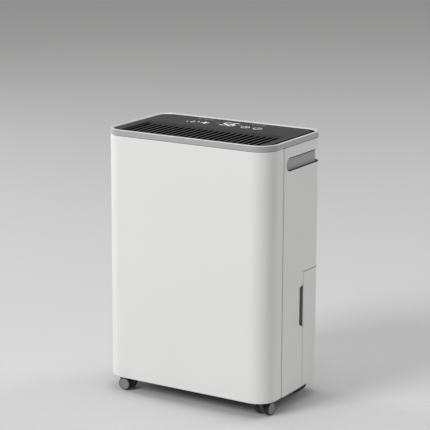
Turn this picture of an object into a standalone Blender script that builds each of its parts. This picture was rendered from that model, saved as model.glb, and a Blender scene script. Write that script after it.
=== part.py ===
"""Upright compressor dehumidifier on four twin-wheel casters.

Sizes are in millimetres and become metres when a mesh is made. +Z is up, the front faces -Y, and
the origin is on the floor under the middle of the body.
"""
import math

import bmesh
import bpy
from mathutils import Matrix, Vector

MM = 0.001
MERGE = 0.00001          # metres; far below every gap in the model
GAP = 0.3                # least gap between two separate pieces

# Body
WIDTH = 350.0
DEPTH = 206.0
HEIGHT = 502.0
FRONT_RADIUS = 37.0
REAR_RADIUS = 30.0
BODY_LOW = 28.0
BODY_TOP = 491.0
WALL = 2.5
SEAM_Y = -47.0           # front cover meets rear cover
SEAM_GAP = 0.6
ARC_STEPS = 6
FRONT = -DEPTH / 2
BACK = DEPTH / 2
SIDE = WIDTH / 2

# Carrying recess, on each side and round the rear corner
RECESS_LOW = 446.3
RECESS_HIGH = 471.0
RECESS_FRONT = -38.4
RECESS_DEPTH = 5.5
RECESS_END_X = 117.0

# Water tank and its bay
TANK_FRONT = 31.0
TANK_TOP = 248.0
TANK_GAP = 0.8
TANK_FLOOR = 37.6

# Finger pocket in front of the tank's edge
GRIP_FRONT = 16.9
GRIP_LOW, GRIP_HIGH = 151.2, 221.3
GRIP_SEAM_LOW, GRIP_SEAM_HIGH = 143.2, 225.3
GRIP_DEPTH = 23.0

# Base pan
BASE_LOW = 30.0
BASE_FLOOR = 7.0
BASE_RIM_TOP = 48.0
SOCKET_TOP = 35.9        # top of the blind holes for the casters' stems

# Top rim and panel
RIM_INSET = 6.3
RIM_LEDGE_INSET = 10.0
RIM_LEDGE_Z = 497.6
PANEL_INSET = 7.8
PANEL_TOP = 500.5
PANEL_SKIN = 2.5
OUTLET_HALF_X = 145.3
OUTLET_FRONT, OUTLET_REAR = -88.5, 9.5
OUTLET_FLOOR = 497.5
OUTLET_UNDER = 493.6
SLOT_COUNT = 23
SLOT_PITCH = 12.4
SLOT_WIDTH = 8.4
SLOT_MIDDLE_X = -2.0
SLOT_FRONT, SLOT_REAR = -85.0, 1.8

# Shelf over the tank, and the coils above it
SHELF_LOW = 250.5
SHELF_TOP = 253.0
BULKHEAD_Y = 27.3
TRAY_LOW, TRAY_TOP = 256.0, 272.0
OUTLET_TUBE = (0.0, 62.0)
COIL_LOW, COIL_HIGH = 277.0, 463.0
COIL_HALF_X = 118.0

# Fan
FAN_Z = 375.0
FAN_RADIUS = 84.0
FAN_FRONT, FAN_BACK = -56.0, 0.0
SCROLL_FRONT, SCROLL_BACK = -62.0, 8.0
SHAFT_RADIUS = 4.0
SHAFT_HOLE = 4.3

# Air intake on the back
INTAKE_HALF_X = 125.5
INTAKE_LOW, INTAKE_HIGH = 265.8, 436.5
INTAKE_HINGE = (101.5, 268.0)

# Continuous drain and cord gland
DRAIN_AT = (-138.0, 262.0)
CORD_AT = (135.8, 268.0)

# Rear screws: x, z of each
SCREW_PLACES = {
    "screw_upper_left": (-104.0, 477.5),
    "screw_upper_right": (104.0, 477.5),
    "screw_lower_left": (-104.0, 259.2),
    "screw_lower_right": (104.0, 259.2),
}

# Compressor
COMPRESSOR_AT = (-45.0, -36.0)
COMPRESSOR_RADIUS = 48.0
FOOT_RADIUS = 50.0
FOOT_ANGLES = (30.0, 150.0, 270.0)

# Casters: x, y of the swivel axis and the way the wheels trail, in degrees
WHEEL_RADIUS = 12.5
WHEEL_INNER, WHEEL_OUTER = 5.0, 14.5
TRAIL = 12.5
CASTER_X, CASTER_Y = 152.0, 79.0
CASTER_PLACES = {
    "front_left": (-CASTER_X, -CASTER_Y, 0.0),
    "front_right": (CASTER_X, -CASTER_Y, 85.0),
    "rear_left": (-CASTER_X, CASTER_Y, 20.0),
    "rear_right": (CASTER_X, CASTER_Y, 180.0),
}

# name: (colour, roughness, metallic)
FINISHES = {
    "white_shell": ((0.80, 0.80, 0.79), 0.42, 0.0),
    "silver_trim": ((0.42, 0.42, 0.42), 0.38, 0.0),
    "dark_panel": ((0.035, 0.035, 0.034), 0.35, 0.0),
    "caster_grey": ((0.16, 0.16, 0.16), 0.5, 0.0),
    "wheel_grey": ((0.30, 0.30, 0.29), 0.5, 0.0),
    "base_black": ((0.03, 0.03, 0.03), 0.6, 0.0),
    "inner_grey": ((0.35, 0.35, 0.35), 0.6, 0.0),
    "tank_lid_grey": ((0.55, 0.57, 0.58), 0.4, 0.0),
    "float_white": ((0.85, 0.85, 0.83), 0.6, 0.0),
    "compressor_black": ((0.02, 0.02, 0.02), 0.35, 0.0),
    "copper": ((0.72, 0.36, 0.22), 0.3, 1.0),
    "aluminium": ((0.75, 0.76, 0.77), 0.35, 1.0),
    "steel": ((0.60, 0.60, 0.61), 0.3, 1.0),
    "board_green": ((0.03, 0.20, 0.08), 0.5, 0.0),
    "mesh_dark": ((0.05, 0.05, 0.05), 0.8, 0.0),
    "rubber_black": ((0.02, 0.02, 0.02), 0.8, 0.0),
}


# ---------------------------------------------------------------- scene and materials

def clear_scene():
    for obj in list(bpy.data.objects):
        bpy.data.objects.remove(obj, do_unlink=True)


def new_collection(name):
    collection = bpy.data.collections.new(name)
    bpy.context.scene.collection.children.link(collection)
    return collection


def make_materials():
    for name, (colour, roughness, metallic) in FINISHES.items():
        material = bpy.data.materials.new(name)
        material.use_nodes = True
        shader = material.node_tree.nodes["Principled BSDF"]
        shader.inputs["Base Color"].default_value = (*colour, 1.0)
        shader.inputs["Roughness"].default_value = roughness
        shader.inputs["Metallic"].default_value = metallic


clear_scene()
PARTS = new_collection("dehumidifier")
CUTTERS = new_collection("cutters")
make_materials()


# ---------------------------------------------------------------- making meshes

def from_bmesh(name, bm, collection=PARTS):
    """A bmesh in millimetres becomes an object in metres."""
    bmesh.ops.scale(bm, vec=(MM, MM, MM), verts=bm.verts)
    mesh = bpy.data.meshes.new(name)
    bm.to_mesh(mesh)
    bm.free()
    obj = bpy.data.objects.new(name, mesh)
    collection.objects.link(obj)
    return obj


def finish(obj, finish_name, origin=None, parent=None):
    """Give the object its material and, where given, its origin (in millimetres) and parent."""
    obj.data.materials.clear()
    obj.data.materials.append(bpy.data.materials[finish_name])
    if origin is not None:
        point = Vector(origin) * MM
        obj.data.transform(Matrix.Translation(-point))
        obj.location = point
    if parent is not None:
        obj.parent = parent
        obj.location = obj.location - parent.matrix_world.translation
    return obj


def empty(name, at, parent=None, turn=0.0):
    """An empty at a point in millimetres, relative to its parent, turned about Z in degrees."""
    obj = bpy.data.objects.new(name, None)
    PARTS.objects.link(obj)
    obj.empty_display_size = 0.02
    obj.location = Vector(at) * MM
    obj.rotation_euler.z = math.radians(turn)
    obj.parent = parent
    bpy.context.view_layer.update()
    return obj


def boxes(name, corners, collection=PARTS):
    """One mesh with a box for each (low corner, high corner)."""
    bm = bmesh.new()
    for low, high in corners:
        size = [b - a for a, b in zip(low, high)]
        middle = [(a + b) / 2 for a, b in zip(low, high)]
        matrix = Matrix.Translation(middle) @ Matrix.Diagonal((*size, 1.0))
        bmesh.ops.create_cube(bm, size=1.0, matrix=matrix)
    return from_bmesh(name, bm, collection)


AXIS_TURNS = {
    "X": Matrix.Rotation(math.radians(90), 4, "Y"),
    "Y": Matrix.Rotation(math.radians(-90), 4, "X"),
    "Z": Matrix.Identity(4),
}


def cylinders(name, pieces, axis="Z", steps=16, collection=PARTS):
    """One mesh with a cylinder for each (start point, length, radius), all along one axis."""
    bm = bmesh.new()
    turn = AXIS_TURNS[axis]
    for start, length, radius in pieces:
        middle = Vector(start) + turn @ Vector((0, 0, length / 2))
        bmesh.ops.create_cone(bm, cap_ends=True, segments=steps, radius1=radius, radius2=radius,
                              depth=length, matrix=Matrix.Translation(middle) @ turn)
    obj = from_bmesh(name, bm, collection)
    obj.data.shade_smooth()
    obj.data.set_sharp_from_angle(angle=math.radians(40))
    return obj


def turned(name, profile, at=(0, 0, 0), axis="Z", steps=20, closed=False):
    """A profile of (radius, height) points, from top to bottom of the outer side, turned."""
    bm = bmesh.new()
    points = [bm.verts.new((radius, 0, height)) for radius, height in profile]
    for first, second in zip(points, points[1:]):
        bm.edges.new((first, second))
    if closed:
        bm.edges.new((points[-1], points[0]))
    obj = from_bmesh(name, bm)
    screw = obj.modifiers.new("turn", "SCREW")
    screw.angle = math.tau
    screw.steps = steps
    screw.render_steps = steps
    screw.use_merge_vertices = True
    screw.merge_threshold = MERGE
    screw.use_smooth_shade = True
    return to_mesh(obj, AXIS_TURNS[axis], at)


def to_mesh(obj, turn, at):
    """Replace an object by the mesh its modifiers or curve give, turned and moved into place."""
    bpy.context.view_layer.update()
    graph = bpy.context.evaluated_depsgraph_get()
    mesh = bpy.data.meshes.new_from_object(obj.evaluated_get(graph))
    name = obj.name
    collection = obj.users_collection[0]
    bpy.data.objects.remove(obj, do_unlink=True)
    bm = bmesh.new()
    bm.from_mesh(mesh)
    bmesh.ops.remove_doubles(bm, verts=bm.verts, dist=MERGE)
    bmesh.ops.recalc_face_normals(bm, faces=bm.faces)
    bmesh.ops.transform(bm, matrix=Matrix.Translation(Vector(at) * MM) @ turn, verts=bm.verts)
    bm.to_mesh(mesh)
    bm.free()
    mesh.name = name
    made = bpy.data.objects.new(name, mesh)
    collection.objects.link(made)
    mesh.set_sharp_from_angle(angle=math.radians(40))
    return made


PLATE_TURNS = {
    "Z": Matrix.Identity(4),
    "Y": Matrix.Rotation(math.radians(90), 4, "X"),
    "X": Matrix.Rotation(math.radians(90), 4, "Z") @ Matrix.Rotation(math.radians(90), 4, "X"),
}


def plate(name, outline, low, high, axis="Z", collection=PARTS):
    """A flat outline made solid between two heights along an axis.

    The outline is in (x, y) for Z, in (x, z) for Y and in (y, z) for X.
    """
    curve = bpy.data.curves.new(name, "CURVE")
    curve.dimensions = "2D"
    curve.fill_mode = "BOTH"
    curve.extrude = (high - low) / 2 * MM
    spline = curve.splines.new("POLY")
    spline.points.add(len(outline) - 1)
    for point, (u, v) in zip(spline.points, outline):
        point.co = (u * MM, v * MM, 0.0, 1.0)
    spline.use_cyclic_u = True
    obj = bpy.data.objects.new(name, curve)
    collection.objects.link(obj)
    middle = (low + high) / 2
    at = {"Z": (0, 0, middle), "Y": (0, middle, 0), "X": (middle, 0, 0)}[axis]
    return to_mesh(obj, PLATE_TURNS[axis], at)


def tube(name, route, radius):
    """A round tube along a list of points."""
    curve = bpy.data.curves.new(name, "CURVE")
    curve.dimensions = "3D"
    curve.bevel_depth = radius * MM
    curve.bevel_resolution = 1
    curve.use_fill_caps = True
    spline = curve.splines.new("POLY")
    spline.points.add(len(route) - 1)
    for point, place in zip(spline.points, route):
        point.co = (*(Vector(place) * MM), 1.0)
    obj = bpy.data.objects.new(name, curve)
    PARTS.objects.link(obj)
    return obj


def smooth_route(points, per_span):
    """Points along a Catmull-Rom curve through the given points."""
    places = [Vector(p) for p in points]
    padded = [places[0] * 2 - places[1]] + places + [places[-1] * 2 - places[-2]]
    route = []
    for a, b, c, d in zip(padded, padded[1:], padded[2:], padded[3:]):
        for step in range(per_span):
            t = step / per_span
            route.append(0.5 * (2 * b + (c - a) * t + (2 * a - 5 * b + 4 * c - d) * t * t
                                + (3 * b - a - 3 * c + d) * t ** 3))
    route.append(places[-1])
    return route


def combine(obj, tool, operation):
    modifier = obj.modifiers.new(tool.name, "BOOLEAN")
    modifier.operation = operation
    modifier.solver = "EXACT"
    modifier.object = tool
    tool.hide_render = True
    tool.display_type = "WIRE"


def cut(obj, *tools):
    for tool in tools:
        combine(obj, tool, "DIFFERENCE")


def join(obj, *tools):
    for tool in tools:
        combine(obj, tool, "UNION")


# ---------------------------------------------------------------- outlines

def arc(centre, radius, start, end, steps=ARC_STEPS):
    """Points on an arc, angles in degrees."""
    points = []
    for step in range(steps + 1):
        angle = math.radians(start + (end - start) * step / steps)
        points.append((centre[0] + radius * math.cos(angle), centre[1] + radius * math.sin(angle)))
    return points


def front_path(inset, end_y):
    """Round the front, from the right side at end_y to the left side at end_y."""
    centre_x = SIDE - FRONT_RADIUS
    centre_y = FRONT + FRONT_RADIUS
    radius = FRONT_RADIUS - inset
    path = [(SIDE - inset, end_y)]
    path += arc((centre_x, centre_y), radius, 0, -90)
    path += arc((-centre_x, centre_y), radius, -90, -180)
    path.append((-SIDE + inset, end_y))
    return path


def rear_path(inset, end_y):
    """Round the back, from the left side at end_y to the right side at end_y."""
    centre_x = SIDE - REAR_RADIUS
    centre_y = BACK - REAR_RADIUS
    radius = REAR_RADIUS - inset
    path = [(-SIDE + inset, end_y)]
    path += arc((-centre_x, centre_y), radius, 180, 90)
    path += arc((centre_x, centre_y), radius, 90, 0)
    path.append((SIDE - inset, end_y))
    return path


def footprint(inset):
    """The whole body outline, moved inwards."""
    return front_path(inset, SEAM_Y)[:-1] + rear_path(inset, SEAM_Y)[:-1]


# ---------------------------------------------------------------- lofts

def loft(name, sections, ring=False, collection=PARTS):
    """Sections of equally many points joined into one skin, with end caps unless it is a ring."""
    bm = bmesh.new()
    rows = [[bm.verts.new(point) for point in section] for section in sections]
    pairs = list(zip(rows, rows[1:]))
    if ring:
        pairs.append((rows[-1], rows[0]))
    count = len(rows[0])
    for row, following in pairs:
        for index in range(count):
            after = (index + 1) % count
            bm.faces.new((row[index], row[after], following[after], following[index]))
    if not ring:
        bm.faces.new(list(reversed(rows[0])))
        bm.faces.new(rows[-1])
    bmesh.ops.recalc_face_normals(bm, faces=bm.faces)
    return from_bmesh(name, bm, collection)


def shell_wall(name, path, low, high):
    """A thin wall standing on an open path, thickened inwards."""
    bm = bmesh.new()
    lower = [bm.verts.new((x, y, low)) for x, y in path]
    upper = [bm.verts.new((x, y, high)) for x, y in path]
    for index in range(len(path) - 1):
        bm.faces.new((lower[index + 1], lower[index], upper[index], upper[index + 1]))
    obj = from_bmesh(name, bm)
    solidify = obj.modifiers.new("wall", "SOLIDIFY")
    solidify.thickness = WALL * MM
    solidify.offset = -1
    solidify.use_even_offset = True
    return obj


# ---------------------------------------------------------------- covers

def recess_stations(inset, side, grow):
    """Where the carrying recess runs: (x, y, half height) from its front end to its rear end.

    grow widens the recess all round, for the pocket that holds it.
    """
    half = (RECESS_HIGH - RECESS_LOW) / 2 + grow
    end_steps = 5
    rounding = []
    for step in range(1, end_steps + 1):
        angle = math.pi / 2 * step / end_steps
        rounding.append((half * (1 - math.cos(angle)) - grow, half * math.sin(angle)))
    stations = [(SIDE - inset, RECESS_FRONT + run, height) for run, height in rounding]
    centre = (SIDE - REAR_RADIUS, BACK - REAR_RADIUS)
    stations += [(x, y, half) for x, y in arc(centre, REAR_RADIUS - inset, 0, 90, steps=5)]
    stations += [(RECESS_END_X + run, BACK - inset, height) for run, height in reversed(rounding)]
    return [(side * x, y, height) for x, y, height in stations]


def recess_bar(name, side, outer_inset, inner_inset, grow=0.0):
    """A bar along the carrying recess, between two depths under the outside of the body."""
    middle = (RECESS_LOW + RECESS_HIGH) / 2
    outer_stations = recess_stations(outer_inset, side, grow)
    inner_stations = recess_stations(inner_inset, side, grow)
    sections = []
    for outer, inner in zip(outer_stations, inner_stations):
        low, high = middle - outer[2], middle + outer[2]
        sections.append([(outer[0], outer[1], low), (outer[0], outer[1], high),
                         (inner[0], inner[1], high), (inner[0], inner[1], low)])
    return loft(name, sections, collection=CUTTERS)


def build_front_cover():
    cover = shell_wall("front_cover", front_path(0, SEAM_Y - SEAM_GAP / 2),
                       BODY_LOW, BODY_TOP - GAP)
    finish(cover, "white_shell", origin=(0, FRONT, BODY_LOW))


def screw_cups():
    """Sunk seats for the rear screws, joined to the inside of the rear cover."""
    depth = 7.0
    pieces = [((x, BACK - WALL / 2 - depth, z), depth, 5.6) for x, z in SCREW_PLACES.values()]
    return cylinders("screw_cups", pieces, axis="Y", collection=CUTTERS)


def large_openings():
    """Tank bay, air intake and grip notches of the rear cover."""
    tank_bay = boxes("tank_bay", [((-SIDE - 5, TANK_FRONT - TANK_GAP, BODY_LOW - 5),
                                   (SIDE + 5, BACK + 5, TANK_TOP + TANK_GAP))], CUTTERS)
    intake = boxes("intake_opening", [((-INTAKE_HALF_X, BACK - 10, INTAKE_LOW),
                                       (INTAKE_HALF_X, BACK + 5, INTAKE_HIGH))], CUTTERS)
    grip_outline = [(GRIP_FRONT, GRIP_LOW), (TANK_FRONT, GRIP_SEAM_LOW),
                    (TANK_FRONT, GRIP_SEAM_HIGH), (GRIP_FRONT, GRIP_HIGH)]
    grips = plate("grip_notches", grip_outline, -SIDE - 5, SIDE + 5, axis="X", collection=CUTTERS)
    return tank_bay, intake, grips


def round_holes():
    """Screw, drain and cord holes of the rear cover."""
    head_holes = cylinders("screw_head_holes",
                           [((x, BACK - 4.5, z), 8, 4.3) for x, z in SCREW_PLACES.values()],
                           axis="Y", steps=16, collection=CUTTERS)
    shank_holes = cylinders("screw_shank_holes",
                            [((x, BACK - 15, z), 12, 2.1) for x, z in SCREW_PLACES.values()],
                            axis="Y", steps=12, collection=CUTTERS)
    outlets = cylinders("drain_and_cord_holes",
                        [((DRAIN_AT[0], BACK - 6, DRAIN_AT[1]), 10, 8.6),
                         ((CORD_AT[0], BACK - 6, CORD_AT[1]), 10, 9.3)],
                        axis="Y", collection=CUTTERS)
    return head_holes, shank_holes, outlets


def build_rear_cover():
    cover = shell_wall("rear_cover", rear_path(0, SEAM_Y + SEAM_GAP / 2),
                       BODY_LOW, BODY_TOP - GAP)
    cut(cover, *large_openings())
    join(cover, screw_cups())
    for side, word in ((1, "right"), (-1, "left")):
        join(cover, recess_bar(f"recess_pocket_{word}", side, 1.0, RECESS_DEPTH + WALL, WALL))
        cut(cover, recess_bar(f"recess_{word}", side, -3.0, RECESS_DEPTH))
    cut(cover, *round_holes())
    finish(cover, "white_shell", origin=(0, BACK, BODY_LOW))


# ---------------------------------------------------------------- base and inner structure

def build_base_pan():
    inset = WALL + 0.6
    rim = 2.4
    pan = plate("base_pan", footprint(inset), BASE_LOW, BASE_RIM_TOP)
    pocket = plate("base_pocket", footprint(inset + rim), BASE_LOW + BASE_FLOOR,
                   BASE_RIM_TOP + 5, collection=CUTTERS)
    tank_floor = boxes("base_under_tank", [((-SIDE, BULKHEAD_Y - GAP, BASE_LOW + BASE_FLOOR),
                                            (SIDE, BACK, BASE_RIM_TOP + 5))], CUTTERS)
    cut(pan, pocket, tank_floor)
    sockets = cylinders("caster_sockets", [((x, y, BASE_LOW - 2), SOCKET_TOP - BASE_LOW + 2, 4.3)
                                           for x, y, _ in CASTER_PLACES.values()],
                        steps=12, collection=CUTTERS)
    cut(pan, sockets)
    finish(pan, "base_black", origin=(0, 0, BASE_LOW))


def build_bulkhead():
    """Wall behind the compressor bay, shelf over the tank, and a finger pocket at each side."""
    inset = WALL + 0.6
    bulkhead = plate("bulkhead", rear_path(inset, BULKHEAD_Y), SHELF_LOW, SHELF_TOP)
    half = SIDE - inset
    pocket_in = half - GRIP_DEPTH
    wall = boxes("bulkhead_wall", [((-half, BULKHEAD_Y, BASE_LOW + BASE_FLOOR + GAP),
                                    (half, BULKHEAD_Y + WALL, SHELF_TOP - 0.5))], CUTTERS)
    pocket_boxes = []
    cavity_boxes = []
    for side in (1, -1):
        near, far = sorted((side * (pocket_in - WALL), side * half))
        pocket_boxes.append(((near, GRIP_FRONT - 4, GRIP_SEAM_LOW - 4),
                             (far, BULKHEAD_Y + WALL, GRIP_SEAM_HIGH + 4)))
        near, far = sorted((side * pocket_in, side * (half + 5)))
        cavity_boxes.append(((near, GRIP_FRONT - 4 + WALL, GRIP_SEAM_LOW - 4 + WALL),
                             (far, BULKHEAD_Y + WALL + 5, GRIP_SEAM_HIGH + 4 - WALL)))
    join(bulkhead, wall, boxes("grip_pockets", pocket_boxes, CUTTERS))
    lower = [place for name, place in SCREW_PLACES.items() if "lower" in name]
    join(bulkhead, boxes("lower_bosses", [((x - 6, 83.0, SHELF_TOP - 1), (x + 6, 93.4, z + 6))
                                          for x, z in lower], CUTTERS))
    cut(bulkhead, boxes("grip_cavities", cavity_boxes, CUTTERS))
    cut(bulkhead, cylinders("lower_boss_holes", [((x, 80.0, z), 20, 2.1) for x, z in lower],
                            axis="Y", steps=12, collection=CUTTERS))
    cut(bulkhead, cylinders("shelf_hole", [((*OUTLET_TUBE, SHELF_LOW - 5), 12, 9.0)],
                            collection=CUTTERS))
    finish(bulkhead, "inner_grey", origin=(0, BULKHEAD_Y, SHELF_LOW))


def build_drip_tray():
    low, high = (-148.0, 16.0, TRAY_LOW), (130.0, 82.0, TRAY_TOP)
    tray = boxes("drip_tray", [(low, high)])
    cavity = boxes("tray_cavity", [((low[0] + WALL, low[1] + WALL, low[2] + WALL),
                                    (high[0] - WALL, high[1] - WALL, high[2] + 5))], CUTTERS)
    cut(tray, cavity)
    join(tray, cylinders("tray_outlet", [((*OUTLET_TUBE, SHELF_LOW - 1.5), 8.5, 6.5)],
                         collection=CUTTERS))
    cut(tray, cylinders("tray_outlet_bore", [((*OUTLET_TUBE, SHELF_LOW - 5), 20, 4.5)],
                        steps=16, collection=CUTTERS))
    cut(tray, cylinders("tray_drain_hole", [((DRAIN_AT[0], 75.0, DRAIN_AT[1] + 2), 15, 4.0)],
                        axis="Y", steps=16, collection=CUTTERS))
    finish(tray, "inner_grey", origin=(0, 49, TRAY_LOW))


# ---------------------------------------------------------------- top

def build_top_rim():
    """Band round the top edge: ledge for the panel, flat top, sloped inner edge, and a skirt."""
    profile = [
        (0.0, BODY_TOP), (0.0, HEIGHT), (4.0, HEIGHT), (RIM_INSET, HEIGHT - 1.6),
        (RIM_INSET, RIM_LEDGE_Z), (RIM_LEDGE_INSET, RIM_LEDGE_Z), (RIM_LEDGE_INSET, 494.5),
        (5.4, 494.5), (5.4, 484.0), (WALL + 0.4, 484.0), (WALL + 0.4, BODY_TOP),
    ]
    outlines = [footprint(inset) for inset, _ in profile]
    sections = []
    for index in range(len(outlines[0])):
        sections.append([(*outline[index], z) for outline, (_, z) in zip(outlines, profile)])
    rim = loft("top_rim", sections, ring=True)
    upper = [place for name, place in SCREW_PLACES.items() if "upper" in name]
    join(rim, boxes("upper_bosses", [((x - 6, 83.0, z - 6), (x + 6, 93.4, RIM_LEDGE_Z - 1))
                                     for x, z in upper], CUTTERS))
    join(rim, boxes("upper_boss_links", [((x - 5, 93.0, 486.0), (x + 5, 98.5, 494.0))
                                         for x, z in upper], CUTTERS))
    cut(rim, cylinders("upper_boss_holes", [((x, 80.0, z), 20, 2.1) for x, z in upper],
                       axis="Y", steps=12, collection=CUTTERS))
    finish(rim, "silver_trim", origin=(0, 0, BODY_TOP))


def build_top_panel():
    """Dark panel: sunk slotted outlet in front, flat control area behind."""
    margin = 2.2
    panel = plate("top_panel", footprint(PANEL_INSET), PANEL_TOP - PANEL_SKIN, PANEL_TOP)
    under_low = (-OUTLET_HALF_X - margin, OUTLET_FRONT - margin, OUTLET_UNDER)
    under_high = (OUTLET_HALF_X + margin, OUTLET_REAR + margin, PANEL_TOP - 1)
    join(panel, boxes("outlet_tray", [(under_low, under_high)], CUTTERS))
    slope_run = 7.4
    recess_side = [(OUTLET_FRONT, OUTLET_FLOOR), (OUTLET_REAR - slope_run, OUTLET_FLOOR),
                   (OUTLET_REAR, PANEL_TOP), (OUTLET_REAR, PANEL_TOP + 5),
                   (OUTLET_FRONT, PANEL_TOP + 5)]
    cut(panel, plate("outlet_recess", recess_side, -OUTLET_HALF_X, OUTLET_HALF_X, axis="X",
                     collection=CUTTERS))
    slots = []
    for index in range(SLOT_COUNT):
        x = SLOT_MIDDLE_X + (index - (SLOT_COUNT - 1) / 2) * SLOT_PITCH
        slots.append(((x - SLOT_WIDTH / 2, SLOT_FRONT, OUTLET_UNDER - 5),
                      (x + SLOT_WIDTH / 2, SLOT_REAR, OUTLET_FLOOR + 1)))
    cut(panel, boxes("outlet_slots", slots, CUTTERS))
    finish(panel, "dark_panel", origin=(0, 0, PANEL_TOP))


def build_boards():
    board = boxes("display_board", [((-100.0, 32.0, 492.0), (90.0, 82.0, 493.6))])
    finish(board, "board_green", origin=(0, 58, 492))
    sensor = boxes("humidity_sensor", [((60.0, 94.0, 441.0), (84.0, 99.8, 452.0))])
    cut(sensor, boxes("sensor_slots", [((64.0, 90.0, z), (80.0, 97.0, z + 1.5))
                                       for z in (443.0, 446.0, 449.0)], CUTTERS))
    finish(sensor, "float_white", origin=(72, 98, 446))
    tank_sensor = boxes("tank_sensor", [((96.0, 56.0, SHELF_TOP + GAP), (124.0, 74.0, 255.6))])
    finish(tank_sensor, "board_green", origin=(110, 65, 254))


# ---------------------------------------------------------------- compressor bay

def foot_places():
    x, y = COMPRESSOR_AT
    for angle in FOOT_ANGLES:
        turn = math.radians(angle)
        yield x + FOOT_RADIUS * math.cos(turn), y + FOOT_RADIUS * math.sin(turn)


def build_compressor():
    """Welded steel can on a three-armed foot, with its suction accumulator beside it."""
    foot_low, foot_high = 46.0, 49.0
    radius = COMPRESSOR_RADIUS
    profile = [(0, 232), (12, 231), (30, 226), (42, 217), (radius, 204), (radius, 76),
               (43, 62), (32, 54), (14, foot_low), (0, foot_low)]
    can = turned("compressor", profile, at=(*COMPRESSOR_AT, 0))
    join(can, cylinders("foot_pads", [((x, y, foot_low), foot_high - foot_low, 10.5)
                                      for x, y in foot_places()], collection=CUTTERS))
    join(can, plate("foot_arms", [(x, y) for x, y in foot_places()], foot_low, foot_high,
                    collection=CUTTERS))
    cut(can, cylinders("foot_holes", [((x, y, foot_low - 5), 12, 5.0) for x, y in foot_places()],
                       steps=16, collection=CUTTERS))
    finish(can, "compressor_black", origin=(*COMPRESSOR_AT, foot_low))

    base = BASE_LOW + BASE_FLOOR + GAP
    grommet = [(4.6, 52.5), (4.6, foot_low - GAP), (9, foot_low - GAP), (9, base), (3, base),
               (3, 52.5)]
    for number, (x, y) in enumerate(foot_places(), start=1):
        piece = turned(f"compressor_grommet_{number}", grommet, at=(x, y, 0), steps=16,
                       closed=True)
        finish(piece, "rubber_black", origin=(x, y, base))

    accumulator = [(0, 214), (9, 212), (17, 202), (17, 112), (9, 102), (0, 100)]
    at = (COMPRESSOR_AT[0] + radius + 19, COMPRESSOR_AT[1], 0)
    finish(turned("accumulator", accumulator, at=at, steps=20), "compressor_black",
           origin=(at[0], at[1], 100))


def build_control_box():
    """Open-fronted box on the bulkhead with the main board and the run capacitor."""
    low, high = (66.0, -32.0, 70.0), (145.0, BULKHEAD_Y - GAP, 234.0)
    box = boxes("control_box", [(low, high)])
    cavity = boxes("control_cavity", [((low[0] + WALL, low[1] - 5, low[2] + WALL),
                                       (high[0] - WALL, high[1] - WALL, high[2] - WALL))],
                   CUTTERS)
    cut(box, cavity)
    finish(box, "inner_grey", origin=(105, high[1], 70))
    board = boxes("main_board", [((70.0, 16.0, 74.0), (141.0, 17.6, 230.0))])
    finish(board, "board_green", origin=(105, 17, 150))
    capacitor = turned("run_capacitor", [(0, 146), (14, 146), (16, 144), (16, 76), (14, 74),
                                         (0, 74)], at=(92, -10, 0), steps=16)
    finish(capacitor, "aluminium", origin=(92, -10, 74))


def build_pipes():
    """Refrigerant lines between the compressor, the accumulator and the coils."""
    accumulator_x = COMPRESSOR_AT[0] + COMPRESSOR_RADIUS + 19
    suction = [(accumulator_x, -36, 215), (accumulator_x, -36, 226), (40, -34, 239),
               (90, -24, 244), (140, -4, 248), (157, 8, 262), (160, 22, 285), (157, 48, 300),
               (146, 61, 304), (137, 63, 305)]
    finish(tube("suction_pipe", smooth_route(suction, 3), 4.0), "copper")
    discharge = [(-45, -36, 233), (-45, -36, 240), (-62, -28, 246), (-100, -14, 248),
                 (-142, 0, 252), (-158, 10, 268), (-160, 22, 300), (-160, 30, 360),
                 (-158, 32, 430), (-150, 32, 444), (-137, 32, 446)]
    finish(tube("discharge_pipe", smooth_route(discharge, 3), 3.5), "copper")
    coil = [(-137, 32, 290), (-143, 32, 290)]
    turns, per_turn, radius = 2, 10, 7.0
    for step in range(turns * per_turn + 1):
        angle = math.tau * step / per_turn
        coil.append((-150 + radius * math.cos(angle), 36 + 18 * step / (turns * per_turn),
                     290 + radius * math.sin(angle)))
    coil += [(-143, 62, 290), (-137, 63, 290)]
    finish(tube("capillary_tube", coil, 1.2), "copper")


def coil_block(name, front_y, back_y):
    """Fin pack between two end plates, with the tubes' return bends at the right."""
    middle = (front_y + back_y) / 2
    block = boxes(name, [((-COIL_HALF_X, front_y, COIL_LOW), (COIL_HALF_X, back_y, COIL_HIGH))])
    ends = [((side * COIL_HALF_X - 1.5, front_y - 1, TRAY_LOW + WALL + GAP),
             (side * COIL_HALF_X + 1.5, back_y + 1, COIL_HIGH + 2)) for side in (1, -1)]
    join(block, boxes(f"{name}_ends", ends, CUTTERS))
    bends = []
    steps = 4
    for number in range(3):
        z = COIL_LOW + 30 + number * 52
        route = [(COIL_HALF_X - 2, middle, z)]
        route += [(COIL_HALF_X + 2 + 10 * math.sin(math.pi * step / steps), middle,
                   z + 11 - 11 * math.cos(math.pi * step / steps)) for step in range(steps + 1)]
        route.append((COIL_HALF_X - 2, middle, z + 22))
        bend = to_mesh(tube(f"{name}_bend_{number}", route, 3.0), Matrix.Identity(4),
                       (0, 0, 0))
        PARTS.objects.unlink(bend)
        CUTTERS.objects.link(bend)
        bends.append(bend)
    join(block, *bends)
    finish(block, "aluminium", origin=(0, middle, COIL_LOW))


# ---------------------------------------------------------------- fan

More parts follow.
